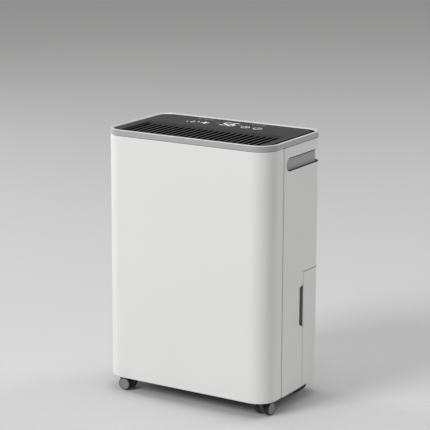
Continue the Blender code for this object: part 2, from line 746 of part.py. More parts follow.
def scroll_outline(inset):
    """The scroll and the duct that spreads out under the outlet, in (x, z)."""
    funnel, neck = 143.0 - inset, 122.0 - inset
    top = 488.0 if inset == 0 else 495.0
    points = [(funnel, top), (funnel, 473.0 + inset), (neck, 459.0 + inset)]
    start_radius, end_radius = 118.0 - inset, 91.5 - inset
    steps = 20
    for step in range(steps + 1):
        angle = math.radians(-250 * step / steps)
        radius = start_radius + (end_radius - start_radius) * step / steps
        points.append((radius * math.cos(angle), FAN_Z + radius * math.sin(angle)))
    tongue_x, tongue_z = points[-1]
    points.append((tongue_x - 8 + 2 * inset, tongue_z + 3 + 2 * inset))
    points += [(-funnel, 473.0 + inset), (-funnel, top)]
    return points


def build_fan_housing():
    housing = plate("fan_housing", scroll_outline(0), SCROLL_FRONT, SCROLL_BACK, axis="Y")
    cavity = plate("scroll_cavity", scroll_outline(WALL), SCROLL_FRONT + WALL,
                   SCROLL_BACK - WALL, axis="Y", collection=CUTTERS)
    inlet = cylinders("scroll_inlet", [((0, SCROLL_BACK - 5, FAN_Z), 10, 62)], axis="Y",
                      steps=24, collection=CUTTERS)
    shaft_hole = cylinders("scroll_shaft_hole", [((0, SCROLL_FRONT - 5, FAN_Z), 10, 9)],
                           axis="Y", collection=CUTTERS)
    cut(housing, cavity, inlet, shaft_hole)
    finish(housing, "inner_grey", origin=(0, SCROLL_FRONT, FAN_Z))

    mouth = [(60, 8.3), (60, 13), (66, 18.5), (68, 17), (63, 12), (63, 10.3), (76, 10.3),
             (76, 8.3)]
    profile = [(radius, height) for radius, height in reversed(mouth)]
    ring = turned("fan_inlet_ring", profile, at=(0, 0, FAN_Z), axis="Y", steps=24, closed=True)
    finish(ring, "inner_grey", origin=(0, 8.3, FAN_Z))


def build_fan_wheel(axis_empty):
    """Squirrel-cage wheel: a cup whose wall is slotted into blades."""
    wall = 11.0
    disc = 3.0
    hub_back = FAN_FRONT + 16
    profile = [(FAN_RADIUS, FAN_BACK), (FAN_RADIUS, FAN_FRONT), (0, FAN_FRONT)]
    inner = [(0, hub_back), (9, hub_back), (9, FAN_FRONT + disc),
             (FAN_RADIUS - wall, FAN_FRONT + disc), (FAN_RADIUS - wall, FAN_BACK)]
    wheel = turned("fan_wheel", profile + inner, at=(0, 0, FAN_Z), axis="Y", steps=40,
                   closed=True)
    blades = 20
    bm = bmesh.new()
    low_y, high_y = FAN_FRONT + disc + 1, FAN_BACK - 4
    size = Matrix.Diagonal((wall + 8, high_y - low_y, 12.0, 1.0))
    sweep = Matrix.Rotation(math.radians(28), 4, "Y")
    for number in range(blades):
        turn = Matrix.Rotation(math.tau * number / blades, 4, "Y")
        place = Matrix.Translation((FAN_RADIUS - wall / 2, (low_y + high_y) / 2, 0))
        bmesh.ops.create_cube(bm, size=1.0, matrix=Matrix.Translation((0, 0, FAN_Z))
                              @ turn @ place @ sweep @ size)
    cut(wheel, from_bmesh("blade_slots", bm, CUTTERS))
    cut(wheel, cylinders("hub_bore", [((0, FAN_FRONT - 5, FAN_Z), 19, SHAFT_HOLE)], axis="Y",
                         steps=16, collection=CUTTERS))
    finish(wheel, "inner_grey", origin=(0, FAN_FRONT, FAN_Z), parent=axis_empty)


def build_fan():
    build_fan_housing()
    axis_empty = empty("fan_axis", (0, FAN_FRONT, FAN_Z))
    build_fan_wheel(axis_empty)
    shaft = cylinders("motor_shaft", [((0, -74, FAN_Z), 31, SHAFT_RADIUS)], axis="Y", steps=16)
    finish(shaft, "steel", origin=(0, FAN_FRONT, FAN_Z), parent=axis_empty)

    low_y, high_y = -97.0, SCROLL_FRONT - GAP
    profile = [(0, high_y), (20, high_y), (20, high_y - 2), (40, high_y - 4), (42, high_y - 6),
               (42, low_y + 3), (39, low_y), (0, low_y)]
    motor = turned("fan_motor", profile, at=(0, 0, FAN_Z), axis="Y", steps=28)
    cut(motor, cylinders("motor_bore", [((0, -75, FAN_Z), 20, SHAFT_HOLE)], axis="Y", steps=16,
                         collection=CUTTERS))
    finish(motor, "steel", origin=(0, low_y, FAN_Z))


# ---------------------------------------------------------------- tank

def tank_outline(inset):
    return rear_path(inset, TANK_FRONT + inset)


def build_tank():
    tank_empty = empty("tank_slide_origin", (0, TANK_FRONT, TANK_FLOOR))
    tank = plate("water_tank", tank_outline(0), BODY_LOW + GAP, TANK_TOP)
    ledge = 243.0
    cavity = plate("tank_cavity", tank_outline(WALL + 1.4), TANK_FLOOR + WALL, ledge + 1,
                   collection=CUTTERS)
    mouth = plate("tank_mouth", tank_outline(WALL), ledge, TANK_TOP + 5, collection=CUTTERS)
    underside = plate("tank_underside", rear_path(WALL, TANK_FRONT - 5), BODY_LOW - 5,
                      TANK_FLOOR, collection=CUTTERS)
    cut(tank, cavity, mouth, underside)
    finish(tank, "white_shell", origin=(0, TANK_FRONT, TANK_FLOOR), parent=tank_empty)

    lid_low, lid_high = ledge + GAP, ledge + GAP + 2.4
    lid = plate("tank_lid", tank_outline(WALL + GAP), lid_low, lid_high)
    float_x, pin_y, pin_z = 110.0, 54.0, 229.0
    ears = [((x, pin_y - 4, pin_z - 4), (x + 3, pin_y + 4, lid_low + 1))
            for x in (float_x - 17, float_x + 14)]
    join(lid, boxes("float_ears", ears, CUTTERS))
    cut(lid, cylinders("float_pin_holes", [((float_x - 20, pin_y, pin_z), 40, 2.4)], axis="X",
                       steps=16, collection=CUTTERS))
    cut(lid, cylinders("lid_inlet", [((*OUTLET_TUBE, lid_low - 2), 8, 14.0)],
                       collection=CUTTERS))
    cut(lid, cylinders("pour_hole", [((-140.0, 70.0, lid_low - 2), 8, 16.0)],
                       collection=CUTTERS))
    finish(lid, "tank_lid_grey", origin=(0, 66, lid_low), parent=tank_empty)

    float_empty = empty("float_axis", (float_x, pin_y - TANK_FRONT, pin_z - TANK_FLOOR),
                        parent=tank_empty)
    bob = boxes("tank_float", [((float_x - 12, pin_y + 8, 205.0),
                                (float_x + 12, pin_y + 34, 227.0))])
    join(bob, boxes("float_arm", [((float_x - 3, pin_y - 3, pin_z - 3.5),
                                   (float_x + 3, pin_y + 12, pin_z + 2))], CUTTERS))
    join(bob, cylinders("float_pin", [((float_x - 16.5, pin_y, pin_z), 33, 2.0)], axis="X",
                        steps=12, collection=CUTTERS))
    finish(bob, "float_white", origin=(float_x, pin_y, pin_z), parent=float_empty)


# ---------------------------------------------------------------- intake

def build_intake():
    """Louvred grille on the back that tilts out with the filter clipped inside it."""
    hinge_y, hinge_z = INTAKE_HINGE
    axis_empty = empty("intake_hinge_axis", (0, hinge_y, hinge_z))
    edge = 0.7
    half = INTAKE_HALF_X - edge
    low, high = INTAKE_LOW + edge, INTAKE_HIGH - edge
    skin_front, skin_back = 99.5, 102.5
    grille = boxes("intake_grille", [((-half, skin_front, low), (half, skin_back, high))])
    slots = []
    columns, rows = 3, 15
    column_width = (2 * half - 12) / columns
    row_pitch = (high - low - 10) / rows
    for column in range(columns):
        x = -half + 6 + column * column_width
        for row in range(rows):
            z = low + 5 + row * row_pitch
            slots.append(((x + 3, skin_front - 5, z + 2.2), (x + column_width - 3, skin_back + 5,
                                                            z + row_pitch - 2.2)))
    cut(grille, boxes("louvres", slots, CUTTERS))
    finish(grille, "white_shell", origin=(0, hinge_y, hinge_z), parent=axis_empty)

    frame_half, frame_low, frame_high = 121.0, 271.0, 431.0
    frame_front, frame_back = 87.0, skin_front - GAP
    frame = boxes("filter_frame", [((-frame_half, frame_front, frame_low),
                                    (frame_half, frame_back, frame_high))])
    bar = 5.0
    rib_depth = 3.0
    cut(frame, boxes("filter_recess", [((-frame_half + bar, frame_front + rib_depth,
                                         frame_low + bar),
                                        (frame_half - bar, frame_back + 5, frame_high - bar))],
                     CUTTERS))
    windows = []
    columns, rows = 3, 2
    width = (2 * frame_half - 2 * bar) / columns
    height = (frame_high - frame_low - 2 * bar) / rows
    for column in range(columns):
        for row in range(rows):
            x = -frame_half + bar + column * width
            z = frame_low + bar + row * height
            windows.append(((x + 1.5, frame_front - 5, z + 1.5),
                            (x + width - 1.5, frame_front + rib_depth + 1, z + height - 1.5)))
    cut(frame, boxes("filter_windows", windows, CUTTERS))
    finish(frame, "base_black", origin=(0, hinge_y, hinge_z), parent=axis_empty)
    mesh = boxes("filter_mesh", [((-frame_half + bar + GAP, frame_front + rib_depth + GAP,
                                   frame_low + bar + GAP),
                                  (frame_half - bar - GAP, frame_front + rib_depth + 1.5,
                                   frame_high - bar - GAP))])
    finish(mesh, "mesh_dark", origin=(0, hinge_y, hinge_z), parent=axis_empty)


# ---------------------------------------------------------------- small rear parts

def build_drain():
    x, z = DRAIN_AT
    end_y = 97.0
    spout = [(5.0, end_y), (8.0, end_y), (8.0, 82.3), (5.0, 82.3)]
    finish(turned("drain_spout", spout, at=(x, 0, z), axis="Y", steps=20, closed=True),
           "inner_grey", origin=(x, end_y, z))
    slide = empty("drain_plug_axis", (x, end_y, z))
    plug = [(0, 102.7), (2.6, 102.7), (2.6, 101.0), (7.0, 101.0), (7.6, 100.4),
            (7.6, end_y + GAP), (4.6, end_y + GAP), (4.6, 86.5), (4.0, 85.5), (0, 85.5)]
    finish(turned("drain_plug", plug, at=(x, 0, z), axis="Y", steps=20), "rubber_black",
           origin=(x, end_y, z), parent=slide)


def build_cord_gland():
    x, z = CORD_AT
    gland = [(3.8, 102.7), (8.2, 102.7), (9.0, 101.9), (9.0, 100.0), (10.0, 100.0),
             (10.0, 97.5), (7.0, 97.5), (7.0, 92.0), (3.8, 92.0)]
    finish(turned("cord_gland", gland, at=(x, 0, z), axis="Y", steps=20, closed=True),
           "base_black", origin=(x, 100, z))


def build_screws():
    head_front = BACK - 4.5 + GAP
    profile = [(0, head_front + 2.4), (2.6, head_front + 2.2), (3.9, head_front + 1.0),
               (3.9, head_front), (1.8, head_front), (1.8, 85.0), (0, 83.8)]
    for name, (x, z) in SCREW_PLACES.items():
        screw = turned(name, profile, at=(x, 0, z), axis="Y", steps=12)
        cut(screw, boxes(f"{name}_slot", [((x - 0.5, head_front + 1.2, z - 2),
                                           (x + 0.5, head_front + 5, z + 2))], CUTTERS))
        finish(screw, "steel", origin=(x, head_front, z))


# ---------------------------------------------------------------- casters

def caster_fork():
    """Central web between the wheels, hood plate above it and the stem, about the swivel axis."""
    web_half = 4.2
    web_radius = 10.0
    hood_low, hood_high = 25.6, 28.2
    outline = arc((TRAIL, WHEEL_RADIUS), web_radius, -150, 60, steps=12)
    outline += [(9.0, hood_low + 1), (-8.0, hood_low + 1)]
    fork = plate("caster_fork", outline, -web_half, web_half, axis="Y")
    join(fork, cylinders("fork_hood", [((0, 0, hood_low), hood_high - hood_low, 12.5)],
                         collection=CUTTERS))
    join(fork, cylinders("fork_stem", [((0, 0, hood_high - 1),
                                              SOCKET_TOP - hood_high + 0.6, 4.0)], steps=12,
                         collection=CUTTERS))
    cut(fork, cylinders("fork_axle_hole", [((TRAIL, -10, WHEEL_RADIUS), 20, 2.3)], axis="Y",
                        steps=12, collection=CUTTERS))
    tools = [modifier.object for modifier in fork.modifiers]
    made = to_mesh(fork, Matrix.Identity(4), (0, 0, 0))
    for tool in tools:
        bpy.data.objects.remove(tool, do_unlink=True)
    return take_mesh(made)


def take_mesh(obj):
    """Keep an object's mesh and remove the object."""
    mesh = obj.data
    bpy.data.objects.remove(obj, do_unlink=True)
    return mesh


def caster_wheel():
    """Wheel on the +Y side, about the axle, with a blind bore on its inner face."""
    outer, inner, radius = WHEEL_OUTER, WHEEL_INNER, WHEEL_RADIUS
    profile = [(0, outer), (radius - 1.6, outer), (radius, outer - 1.6), (radius, inner + 0.8),
               (radius - 0.8, inner), (2.3, inner), (2.3, outer - 3.0), (0, outer - 3.0)]
    return take_mesh(turned("caster_wheel", profile, axis="Y", steps=20))


def caster_axle():
    half = WHEEL_OUTER - 3.4
    return take_mesh(cylinders("caster_axle", [((0, -half, 0), 2 * half, 2.0)], axis="Y",
                               steps=12))


def add_piece(name, mesh, finish_name, parent, turn=0.0):
    obj = bpy.data.objects.new(name, mesh)
    PARTS.objects.link(obj)
    if not mesh.materials:
        mesh.materials.append(bpy.data.materials[finish_name])
    obj.parent = parent
    obj.rotation_euler.z = math.radians(turn)
    return obj


def build_casters():
    fork_mesh, wheel_mesh, axle_mesh = caster_fork(), caster_wheel(), caster_axle()
    for name, (x, y, turn) in CASTER_PLACES.items():
        swivel = empty(f"{name}_swivel_axis", (x, y, 0), turn=turn)
        add_piece(f"{name}_fork", fork_mesh, "caster_grey", swivel)
        hub = empty(f"{name}_wheel_axis", (TRAIL, 0, WHEEL_RADIUS), parent=swivel)
        add_piece(f"{name}_axle", axle_mesh, "steel", hub)
        add_piece(f"{name}_wheel_a", wheel_mesh, "wheel_grey", hub)
        add_piece(f"{name}_wheel_b", wheel_mesh, "wheel_grey", hub, turn=180.0)


def main():
    build_front_cover()
    build_rear_cover()
    build_base_pan()
    build_bulkhead()
    build_drip_tray()
    build_top_rim()
    build_top_panel()
    build_boards()
    build_compressor()
    build_control_box()
    build_pipes()
    coil_block("condenser", 21.0, 43.0)
    coil_block("evaporator", 51.0, 75.0)
    build_fan()
    build_tank()
    build_intake()
    build_drain()
    build_cord_gland()
    build_screws()
    build_casters()


main()
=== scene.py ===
"""Looks of an upright dehumidifier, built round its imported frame.

Sizes in this script are millimetres and become metres when a mesh is made. +Z is up and the
front faces -Y.
"""
import math

import bmesh
import bpy
from mathutils import Matrix, Vector


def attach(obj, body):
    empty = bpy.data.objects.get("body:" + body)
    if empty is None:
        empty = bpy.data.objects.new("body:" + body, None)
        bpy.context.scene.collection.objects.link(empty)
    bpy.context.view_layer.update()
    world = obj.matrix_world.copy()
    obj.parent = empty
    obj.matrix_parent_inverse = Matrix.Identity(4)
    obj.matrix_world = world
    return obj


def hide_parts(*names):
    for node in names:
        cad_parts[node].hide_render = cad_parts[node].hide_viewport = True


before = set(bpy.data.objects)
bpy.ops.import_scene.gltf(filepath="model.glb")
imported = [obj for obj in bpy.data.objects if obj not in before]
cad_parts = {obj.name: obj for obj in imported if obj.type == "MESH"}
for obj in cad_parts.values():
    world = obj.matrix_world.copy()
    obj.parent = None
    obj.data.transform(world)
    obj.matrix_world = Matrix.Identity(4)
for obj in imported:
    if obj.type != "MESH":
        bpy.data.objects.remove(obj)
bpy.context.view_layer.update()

MM = 0.001
MERGE = 0.001            # two points closer than this are one
NEAR = 0.05              # slack for telling whether a face or an edge lies on a plane
OUTSIDE = 3.0            # how far a cutter starts outside the skin that it cuts
FILLET_ANGLE, SHARP_ANGLE = math.radians(32.0), math.radians(40.0)

# Body
SIDE, BACK = 175.0, 103.0     # half the width and half the depth
FRONT_RADIUS, REAR_RADIUS = 37.0, 30.0
BODY_LOW, BODY_TOP, HEIGHT = 28.0, 490.7, 502.0
WALL = 2.5
SEAM_Y, SEAM_GAP = -47.0, 0.9
ARC_STEPS = 30
EDGE_ROUND = 2.0         # fillet along the bottom of the body
TOP_ROUND = 1.5          # fillet along its top, under the band
SEAM_ROUND = 0.7

# Carrying recess
RECESS_LOW, RECESS_HIGH = 446.3, 471.0
RECESS_FRONT, RECESS_END_X, RECESS_DEPTH = -38.4, 117.0, 5.5
RECESS_ROUND = 0.9
# The trench's faces get the near-black seam material: painted shade round the recess's back wall,
# widest along the top.
TRENCH_WIDTH, TRENCH_DEPTH = 1.3, 1.4     # groove round the recess's back wall
TRENCH_FLOOR, TRENCH_ROOF = 0.3, 3.8      # its width along the bottom and the top

# Tank and finger pocket
TANK_FRONT, TANK_TOP, TANK_GAP, TANK_FLOOR = 31.0, 248.0, 1.1, 37.6
TANK_LEDGE, TANK_WALL = 243.0, 3.9
LID_HOLES = (((0.0, 62.0), 14.0), ((-140.0, 70.0), 16.0))     # centre and radius
LID_RIBS = (-110.0, -75.0, -40.0, 40.0, 75.0)
FLOAT_X, PIN_Y, PIN_Z = 110.0, 54.0, 229.0
GRIP_FRONT = 16.9
GRIP_LOW, GRIP_HIGH = 151.2, 221.3
GRIP_SEAM_LOW, GRIP_SEAM_HIGH = 143.65, 225.1

# Top
RIM_LOW = 491.0
PANEL_INSET, PANEL_LOW, PANEL_TOP = 7.8, 498.0, 500.5
PANEL_BORDER, BORDER_SINK = 13.5, 0.6
OUTLET_HALF_X, OUTLET_FRONT, OUTLET_REAR = 145.3, -88.5, 9.5
OUTLET_FLOOR, OUTLET_UNDER, OUTLET_SLOPE = 497.5, 493.6, 7.4
SLOT_COUNT, SLOT_PITCH, SLOT_WIDTH, SLOT_MIDDLE_X = 23, 12.4, 8.4, -2.0
SLOT_FRONT, SLOT_REAR = -85.0, 1.8
TRAY_WALL = 2.2          # round the outlet's tray, under the panel

# Display
DIGIT_WIDTH, DIGIT_HALF, DIGIT_SLANT, DIGIT_THICK, DIGIT_Y = 10.5, 13.2, 0.12, 2.2, 60.5
DROPLET_AT, FAN_AT = Vector((-75.0, 49.5)), Vector((-49.0, 50.0))
CLOCK_AT, POWER_AT = Vector((38.0, 50.2)), Vector((64.0, 50.3))
DIAL = 8.4                        # outer radius of the clock and the power sign
CAPTIONS = ((-83.0, (8.0, 12.0, 9.0)), (35.0, (6.0, 5.0, 14.0)))      # left end, lengths
CAPTION_GAP, CAPTION_Y, CAPTION_HIGH = 3.2, 80.4, 1.5

# Back
INTAKE_HALF_X, INTAKE_LOW, INTAKE_HIGH = 125.5, 265.8, 436.5
DRAIN_AT, DRAIN_HOLE = (-138.0, 262.0), 8.6
CORD_AT, CORD_HOLE = (135.8, 268.0), 9.3
SCREWS = {
    "upper_left": (-104.0, 477.5), "upper_right": (104.0, 477.5),
    "lower_left": (-104.0, 259.2), "lower_right": (104.0, 259.2),
}
SCREW_HOLE, SCREW_SINK, SCREW_WALL, SCREW_BOSS = 4.3, 4.5, 1.3, 8.2
GRILLE_EDGE, GRILLE_FRONT, GRILLE_BACK = 0.7, 99.5, 102.5
GRILLE_NOTCH, GRILLE_COLUMNS, GRILLE_ROWS = 11.0, 3, 15
FILTER_LOW, FILTER_HIGH = (-121.0, 271.0), (121.0, 431.0)
FILTER_FRONT, FILTER_BAR = 87.0, 5.0
THREAD, THREAD_PITCH = 0.45, 2.4

# Evaporator
COIL_HALF, COIL_FRONT, COIL_BACK, COIL_LOW, COIL_HIGH = 118.0, 51.0, 75.0, 277.0, 463.0
FIN_PITCH, FIN_THICKNESS = 2.4, 0.35
TUBE_ROWS = ((57.0, 0.0), (69.0, 4.0))        # y of a row of tubes and how much higher it is
TUBE_COUNT, TUBE_PITCH = 8, 23.0

# Casters: x, y of the swivel axis and the turn of the trail, in degrees
WHEEL_RADIUS, WHEEL_INNER, WHEEL_OUTER, TRAIL = 12.5, 5.0, 14.5, 12.5
HOOD_LOW, HOOD_HIGH, HUB_RADIUS = 25.6, 28.2, 10.8
AXLE = (TRAIL, WHEEL_RADIUS)      # x and z of the axle, from the swivel axis
CASTER_X, CASTER_Y = 152.0, 79.0
CASTERS = {
    "front_left": (-CASTER_X, -CASTER_Y, 0.0), "front_right": (CASTER_X, -CASTER_Y, 85.0),
    "rear_left": (-CASTER_X, CASTER_Y, 20.0), "rear_right": (CASTER_X, CASTER_Y, 180.0),
}

# Camera and lights, in metres and degrees
CAMERA_AT, CAMERA_AZIMUTH = (1.65044, -2.70471, 1.09505), 31.3326
CAMERA_ELEVATION, CAMERA_ROLL, CAMERA_LENS = 13.4131, 0.1783, 147.18
LIGHTS = (  # name, azimuth, elevation, distance, size, power
    ("key", -22.0, 35.0, 6.0, (2.0, 2.4), 186.0),
    ("side", 150.0, 28.0, 4.5, (1.6, 2.0), 42.0),
    ("top", 0.0, 88.0, 2.6, (1.6, 1.6), 18.0),
    ("left", -95.0, 12.0, 4.0, (0.8, 1.8), 38.0),
)
LIT_HEIGHT = 0.25        # metres above the floor, where the lights point


# ---- materials

class Shader:
    """One material and the nodes that feed it."""

    def __init__(self, name):
        self.material = bpy.data.materials.new(name)
        self.material.use_nodes = True
        self.tree = self.material.node_tree
        self.surface = self.tree.nodes["Principled BSDF"]
        self.place = self.add("ShaderNodeTexCoord").outputs["Object"]

    def add(self, kind, inputs=None, **settings):
        node = self.tree.nodes.new(kind)
        for key, value in settings.items():
            setattr(node, key, value)
        for key, value in (inputs or {}).items():
            self.feed(node.inputs[key], value)
        return node

    def feed(self, socket, value):
        if isinstance(value, bpy.types.NodeSocket):
            self.tree.links.new(value, socket)
        else:
            socket.default_value = value

    def set(self, **inputs):
        for key, value in inputs.items():
            self.feed(self.surface.inputs[key.replace("_", " ")], value)

    def stretched(self, factors):
        """Object coordinates scaled differently along each axis."""
        return self.add("ShaderNodeMapping", {"Vector": self.place, "Scale": factors}).outputs[0]

    def noise(self, scale, detail=3.0, roughness=0.5, place=None):
        return self.add("ShaderNodeTexNoise", {
            "Vector": place or self.place, "Scale": scale, "Detail": detail,
            "Roughness": roughness}).outputs["Fac"]

    def remap(self, value, low, high, start=0.0, end=1.0):
        return self.add("ShaderNodeMapRange", {
            "Value": value, "From Min": start, "From Max": end, "To Min": low,
            "To Max": high}).outputs[0]

    def blend(self, factor, first, second):
        node = self.add("ShaderNodeMix", data_type="RGBA")
        for index, value in ((0, factor), (6, first), (7, second)):
            self.feed(node.inputs[index], value)
        return node.outputs[2]

    def bump(self, height, depth_mm, strength=1.0, normal=None):
        inputs = {"Height": height, "Distance": depth_mm * MM, "Strength": strength}
        if normal is not None:
            inputs["Normal"] = normal
        return self.add("ShaderNodeBump", inputs).outputs[0]


def grey(level, warmth=0.0):
    return (level * (1 + warmth), level, level * (1 - warmth), 1.0)


def scaled(colour, factor):
    return (*(min(1.0, part * factor) for part in colour[:3]), 1.0)


def moulded(name, colour, roughness, grain=0.5, depth=0.02, wear=0.0):
    """Moulded plastic: fine spark-eroded grain, faint tone drift and uneven gloss."""
    shader = Shader(name)
    drift = shader.noise(7.0, detail=2.0)
    tone = shader.blend(drift, scaled(colour, 0.97), scaled(colour, 1.03))
    if wear:
        scuffs = shader.noise(160.0, detail=6.0, roughness=0.7,
                              place=shader.stretched((1.0, 1.0, 0.25)))
        marks = shader.remap(scuffs, 0.0, wear, start=0.62, end=0.78)
        tone = shader.blend(marks, tone, scaled(colour, 1.6))
    gloss = shader.noise(55.0, detail=4.0)
    shader.set(Base_Color=tone, Specular_IOR_Level=0.5,
               Roughness=shader.remap(gloss, roughness - 0.05, roughness + 0.05))
    fine = shader.noise(1000.0 / grain, detail=2.0)
    waves = shader.noise(22.0, detail=1.0)
    soft = shader.bump(waves, 0.05, strength=0.25)
    shader.set(Normal=shader.bump(fine, depth, strength=0.35, normal=soft))
    return shader.material


def painted_trim(name, colour):
    """Satin silver paint: tiny flakes in the tone and a faint orange peel."""
    shader = Shader(name)
    flakes = shader.noise(2600.0, detail=1.0)
    tone = shader.blend(shader.remap(flakes, 0.0, 1.0, start=0.3, end=0.7),
                        scaled(colour, 0.93), scaled(colour, 1.07))
    shader.set(Base_Color=tone, Metallic=0.3)
    gloss = shader.noise(40.0, detail=3.0)
    shader.set(Roughness=shader.remap(gloss, 0.36, 0.46))
    peel = shader.noise(420.0, detail=2.0)
    shader.set(Normal=shader.bump(peel, 0.01, strength=0.4))
    return shader.material


def panel_plastic(name, colour, roughness, specular):
    """Dark satin panel with faint wiping marks and dust."""
    shader = Shader(name)
    dust = shader.noise(900.0, detail=4.0, roughness=0.7)
    tone = shader.blend(shader.remap(dust, 0.0, 0.12, start=0.6, end=0.8), colour,
                        scaled(colour, 2.2))
    shader.set(Base_Color=tone, Specular_IOR_Level=specular)
    wipes = shader.noise(30.0, detail=5.0, roughness=0.6,
                         place=shader.stretched((0.35, 1.6, 1.0)))
    shader.set(Roughness=shader.remap(wipes, roughness - 0.06, roughness + 0.08))
    grain = shader.noise(2200.0, detail=1.0)
    shader.set(Normal=shader.bump(grain, 0.006, strength=0.35))
    return shader.material


def lit_mark(name, level, strength):
    """A printed mark lit from behind."""
    shader = Shader(name)
    glow = shader.noise(400.0, detail=1.0)
    tone = shader.blend(glow, grey(level * 0.92), grey(level))
    shader.set(Base_Color=tone, Roughness=0.5, Emission_Color=tone, Emission_Strength=strength)
    return shader.material


def metal(name, colour, roughness, tint=0.06):
    """Bare metal with drawn lines along one axis and slight staining."""
    shader = Shader(name)
    stain = shader.noise(35.0, detail=5.0, roughness=0.6)
    shader.set(Base_Color=shader.blend(stain, scaled(colour, 1 - tint), scaled(colour, 1 + tint)),
               Metallic=1.0)
    lines = shader.noise(300.0, detail=4.0, place=shader.stretched((1.0, 1.0, 12.0)))
    shader.set(Roughness=shader.remap(lines, roughness - 0.08, roughness + 0.1),
               Normal=shader.bump(lines, 0.01, strength=0.4))
    return shader.material


def rubber(name, level):
    shader = Shader(name)
    dust = shader.noise(260.0, detail=6.0, roughness=0.7)
    shader.set(Base_Color=shader.blend(shader.remap(dust, 0.0, 0.5, start=0.5, end=0.8),
                                       grey(level), grey(level * 2.5, 0.03)))
    shader.set(Roughness=shader.remap(dust, 0.65, 0.9), Specular_IOR_Level=0.3,
               Normal=shader.bump(dust, 0.03, strength=0.5))
    return shader.material


def circuit_board(name):
    """Green solder mask with a faint pattern of tracks."""
    shader = Shader(name)
    cells = shader.add("ShaderNodeTexVoronoi", {"Vector": shader.place, "Scale": 260.0},
                       distance="MANHATTAN", feature="DISTANCE_TO_EDGE").outputs["Distance"]
    tracks = shader.remap(cells, 1.0, 0.0, start=0.03, end=0.06)
    shader.set(Base_Color=shader.blend(tracks, (0.02, 0.13, 0.05, 1), (0.06, 0.27, 0.10, 1)),
               Roughness=0.35, Normal=shader.bump(tracks, 0.03, strength=0.5))
    return shader.material


WHITE = grey(0.80, 0.004)
MATERIALS = {
    "white": moulded("white_moulded", WHITE, 0.42),
    # painted shade: mid grey for the back wall of each carrying recess
    "recess": moulded("recess_shade_grey", grey(0.42), 0.5),
    "trim": painted_trim("silver_satin", grey(0.46)),
    "panel": panel_plastic("dark_satin", grey(0.026), 0.42, 0.32),
    # painted shade: near-black for the bulkhead seen through the tank's grip pockets
    "pocket": moulded("pocket_shade_black", grey(0.05), 0.55),
    # painted shade: matte near-black for the slot walls and the panel's sunk border
    "slots": panel_plastic("vent_and_border_shade", grey(0.002), 0.9, 0.0),
    "fins": panel_plastic("dark_fins", grey(0.045), 0.42, 0.35),
    # painted shade: near-black for the walls of seams and of the trench round each recess
    "gap": rubber("seam_shade", 0.012),
    # painted shade: near-black for the upward-facing ledge inside each carrying recess
    "ledge": rubber("recess_ledge_shade", 0.05),
    # painted shade: grey for the sheets that darken the tank's front wall inside the grip pockets
    "grip": rubber("grip_pocket_shade", 0.30),
    # painted highlight: lighter silver for the rim's upward faces
    "edge": painted_trim("silver_top_highlight", grey(0.74)),
    "marks": lit_mark("lit_marks", 0.85, 0.45),
    "digits": lit_mark("lit_digits", 0.95, 0.7),
    "captions": lit_mark("lit_captions", 0.5, 0.12),
    "hub": moulded("caster_moulded", grey(0.23), 0.45, wear=0.5),
    "fork": moulded("fork_moulded", grey(0.06), 0.5, wear=0.4),
    "tyre": rubber("tyre_rubber", 0.03),
    "base": moulded("black_moulded", grey(0.022), 0.6, grain=0.8, wear=0.2),
    "inner": moulded("grey_moulded", grey(0.22), 0.55, grain=0.7),
    "lid": moulded("lid_moulded", (0.45, 0.47, 0.49, 1), 0.35),
    "float": moulded("foam_white", grey(0.82, 0.01), 0.8, grain=1.2, depth=0.15),
    "compressor": moulded("enamel_black", grey(0.02), 0.3, grain=3.0, depth=0.05),
    "copper": metal("copper_drawn", (0.72, 0.36, 0.22, 1), 0.3, tint=0.15),
    "aluminium": metal("aluminium_sheet", (0.78, 0.79, 0.80, 1), 0.36),
    "steel": metal("steel_zinc", (0.56, 0.56, 0.57, 1), 0.3),
    "board": circuit_board("circuit_board"),
    "net": rubber("net_nylon", 0.04),
    "rubber": rubber("seal_rubber", 0.02),
}


# ---- outlines in the plane

def arc(centre, radius, start, end, steps=ARC_STEPS):
    """Points on an arc, angles in degrees."""
    points = []
    for step in range(steps + 1):
        angle = math.radians(start + (end - start) * step / steps)
        points.append((centre[0] + radius * math.cos(angle), centre[1] + radius * math.sin(angle)))
    return points


def circle(centre, radius, steps=40):
    return arc(centre, radius, 0, 360, steps)[:-1]


def rectangle(low, high):
    return [(low[0], low[1]), (high[0], low[1]), (high[0], high[1]), (low[0], high[1])]


def shrunk(low, high, across, up):
    """Two opposite corners, moved towards each other."""
    return (low[0] + across, low[1] + up), (high[0] - across, high[1] - up)


def cells(low, high, columns, rows):
    """The cells of a grid: column, row, low corner and high corner of each."""
    width, height = (high[0] - low[0]) / columns, (high[1] - low[1]) / rows
    for column in range(columns):
        for row in range(rows):
            x, y = low[0] + column * width, low[1] + row * height
            yield column, row, (x, y), (x + width, y + height)


def rounded_corners(points, radius, steps=5):
    """A closed outline with its corners rounded; radius is one number or one for each corner."""
    radii = radius if isinstance(radius, (list, tuple)) else [radius] * len(points)
    result = []
    for index, (corner, size) in enumerate(zip(points, radii)):
        here = Vector(corner)
        before = Vector(points[index - 1]) - here
        after = Vector(points[(index + 1) % len(points)]) - here
        if size <= 0:
            result.append(tuple(here))
            continue
        half = before.angle(after) / 2
        reach = min(size / math.tan(half), before.length * 0.49, after.length * 0.49)
        size = reach * math.tan(half)
        bisector = (before.normalized() + after.normalized()).normalized()
        centre = here + bisector * (size / math.sin(half))
        first = here + before.normalized() * reach - centre
        last = here + after.normalized() * reach - centre
        turn = first.angle_signed(last)
        for step in range(steps + 1):
            spoke = first.copy()
            spoke.rotate(Matrix.Rotation(-turn * step / steps, 2))
            result.append(tuple(centre + spoke))
    return result


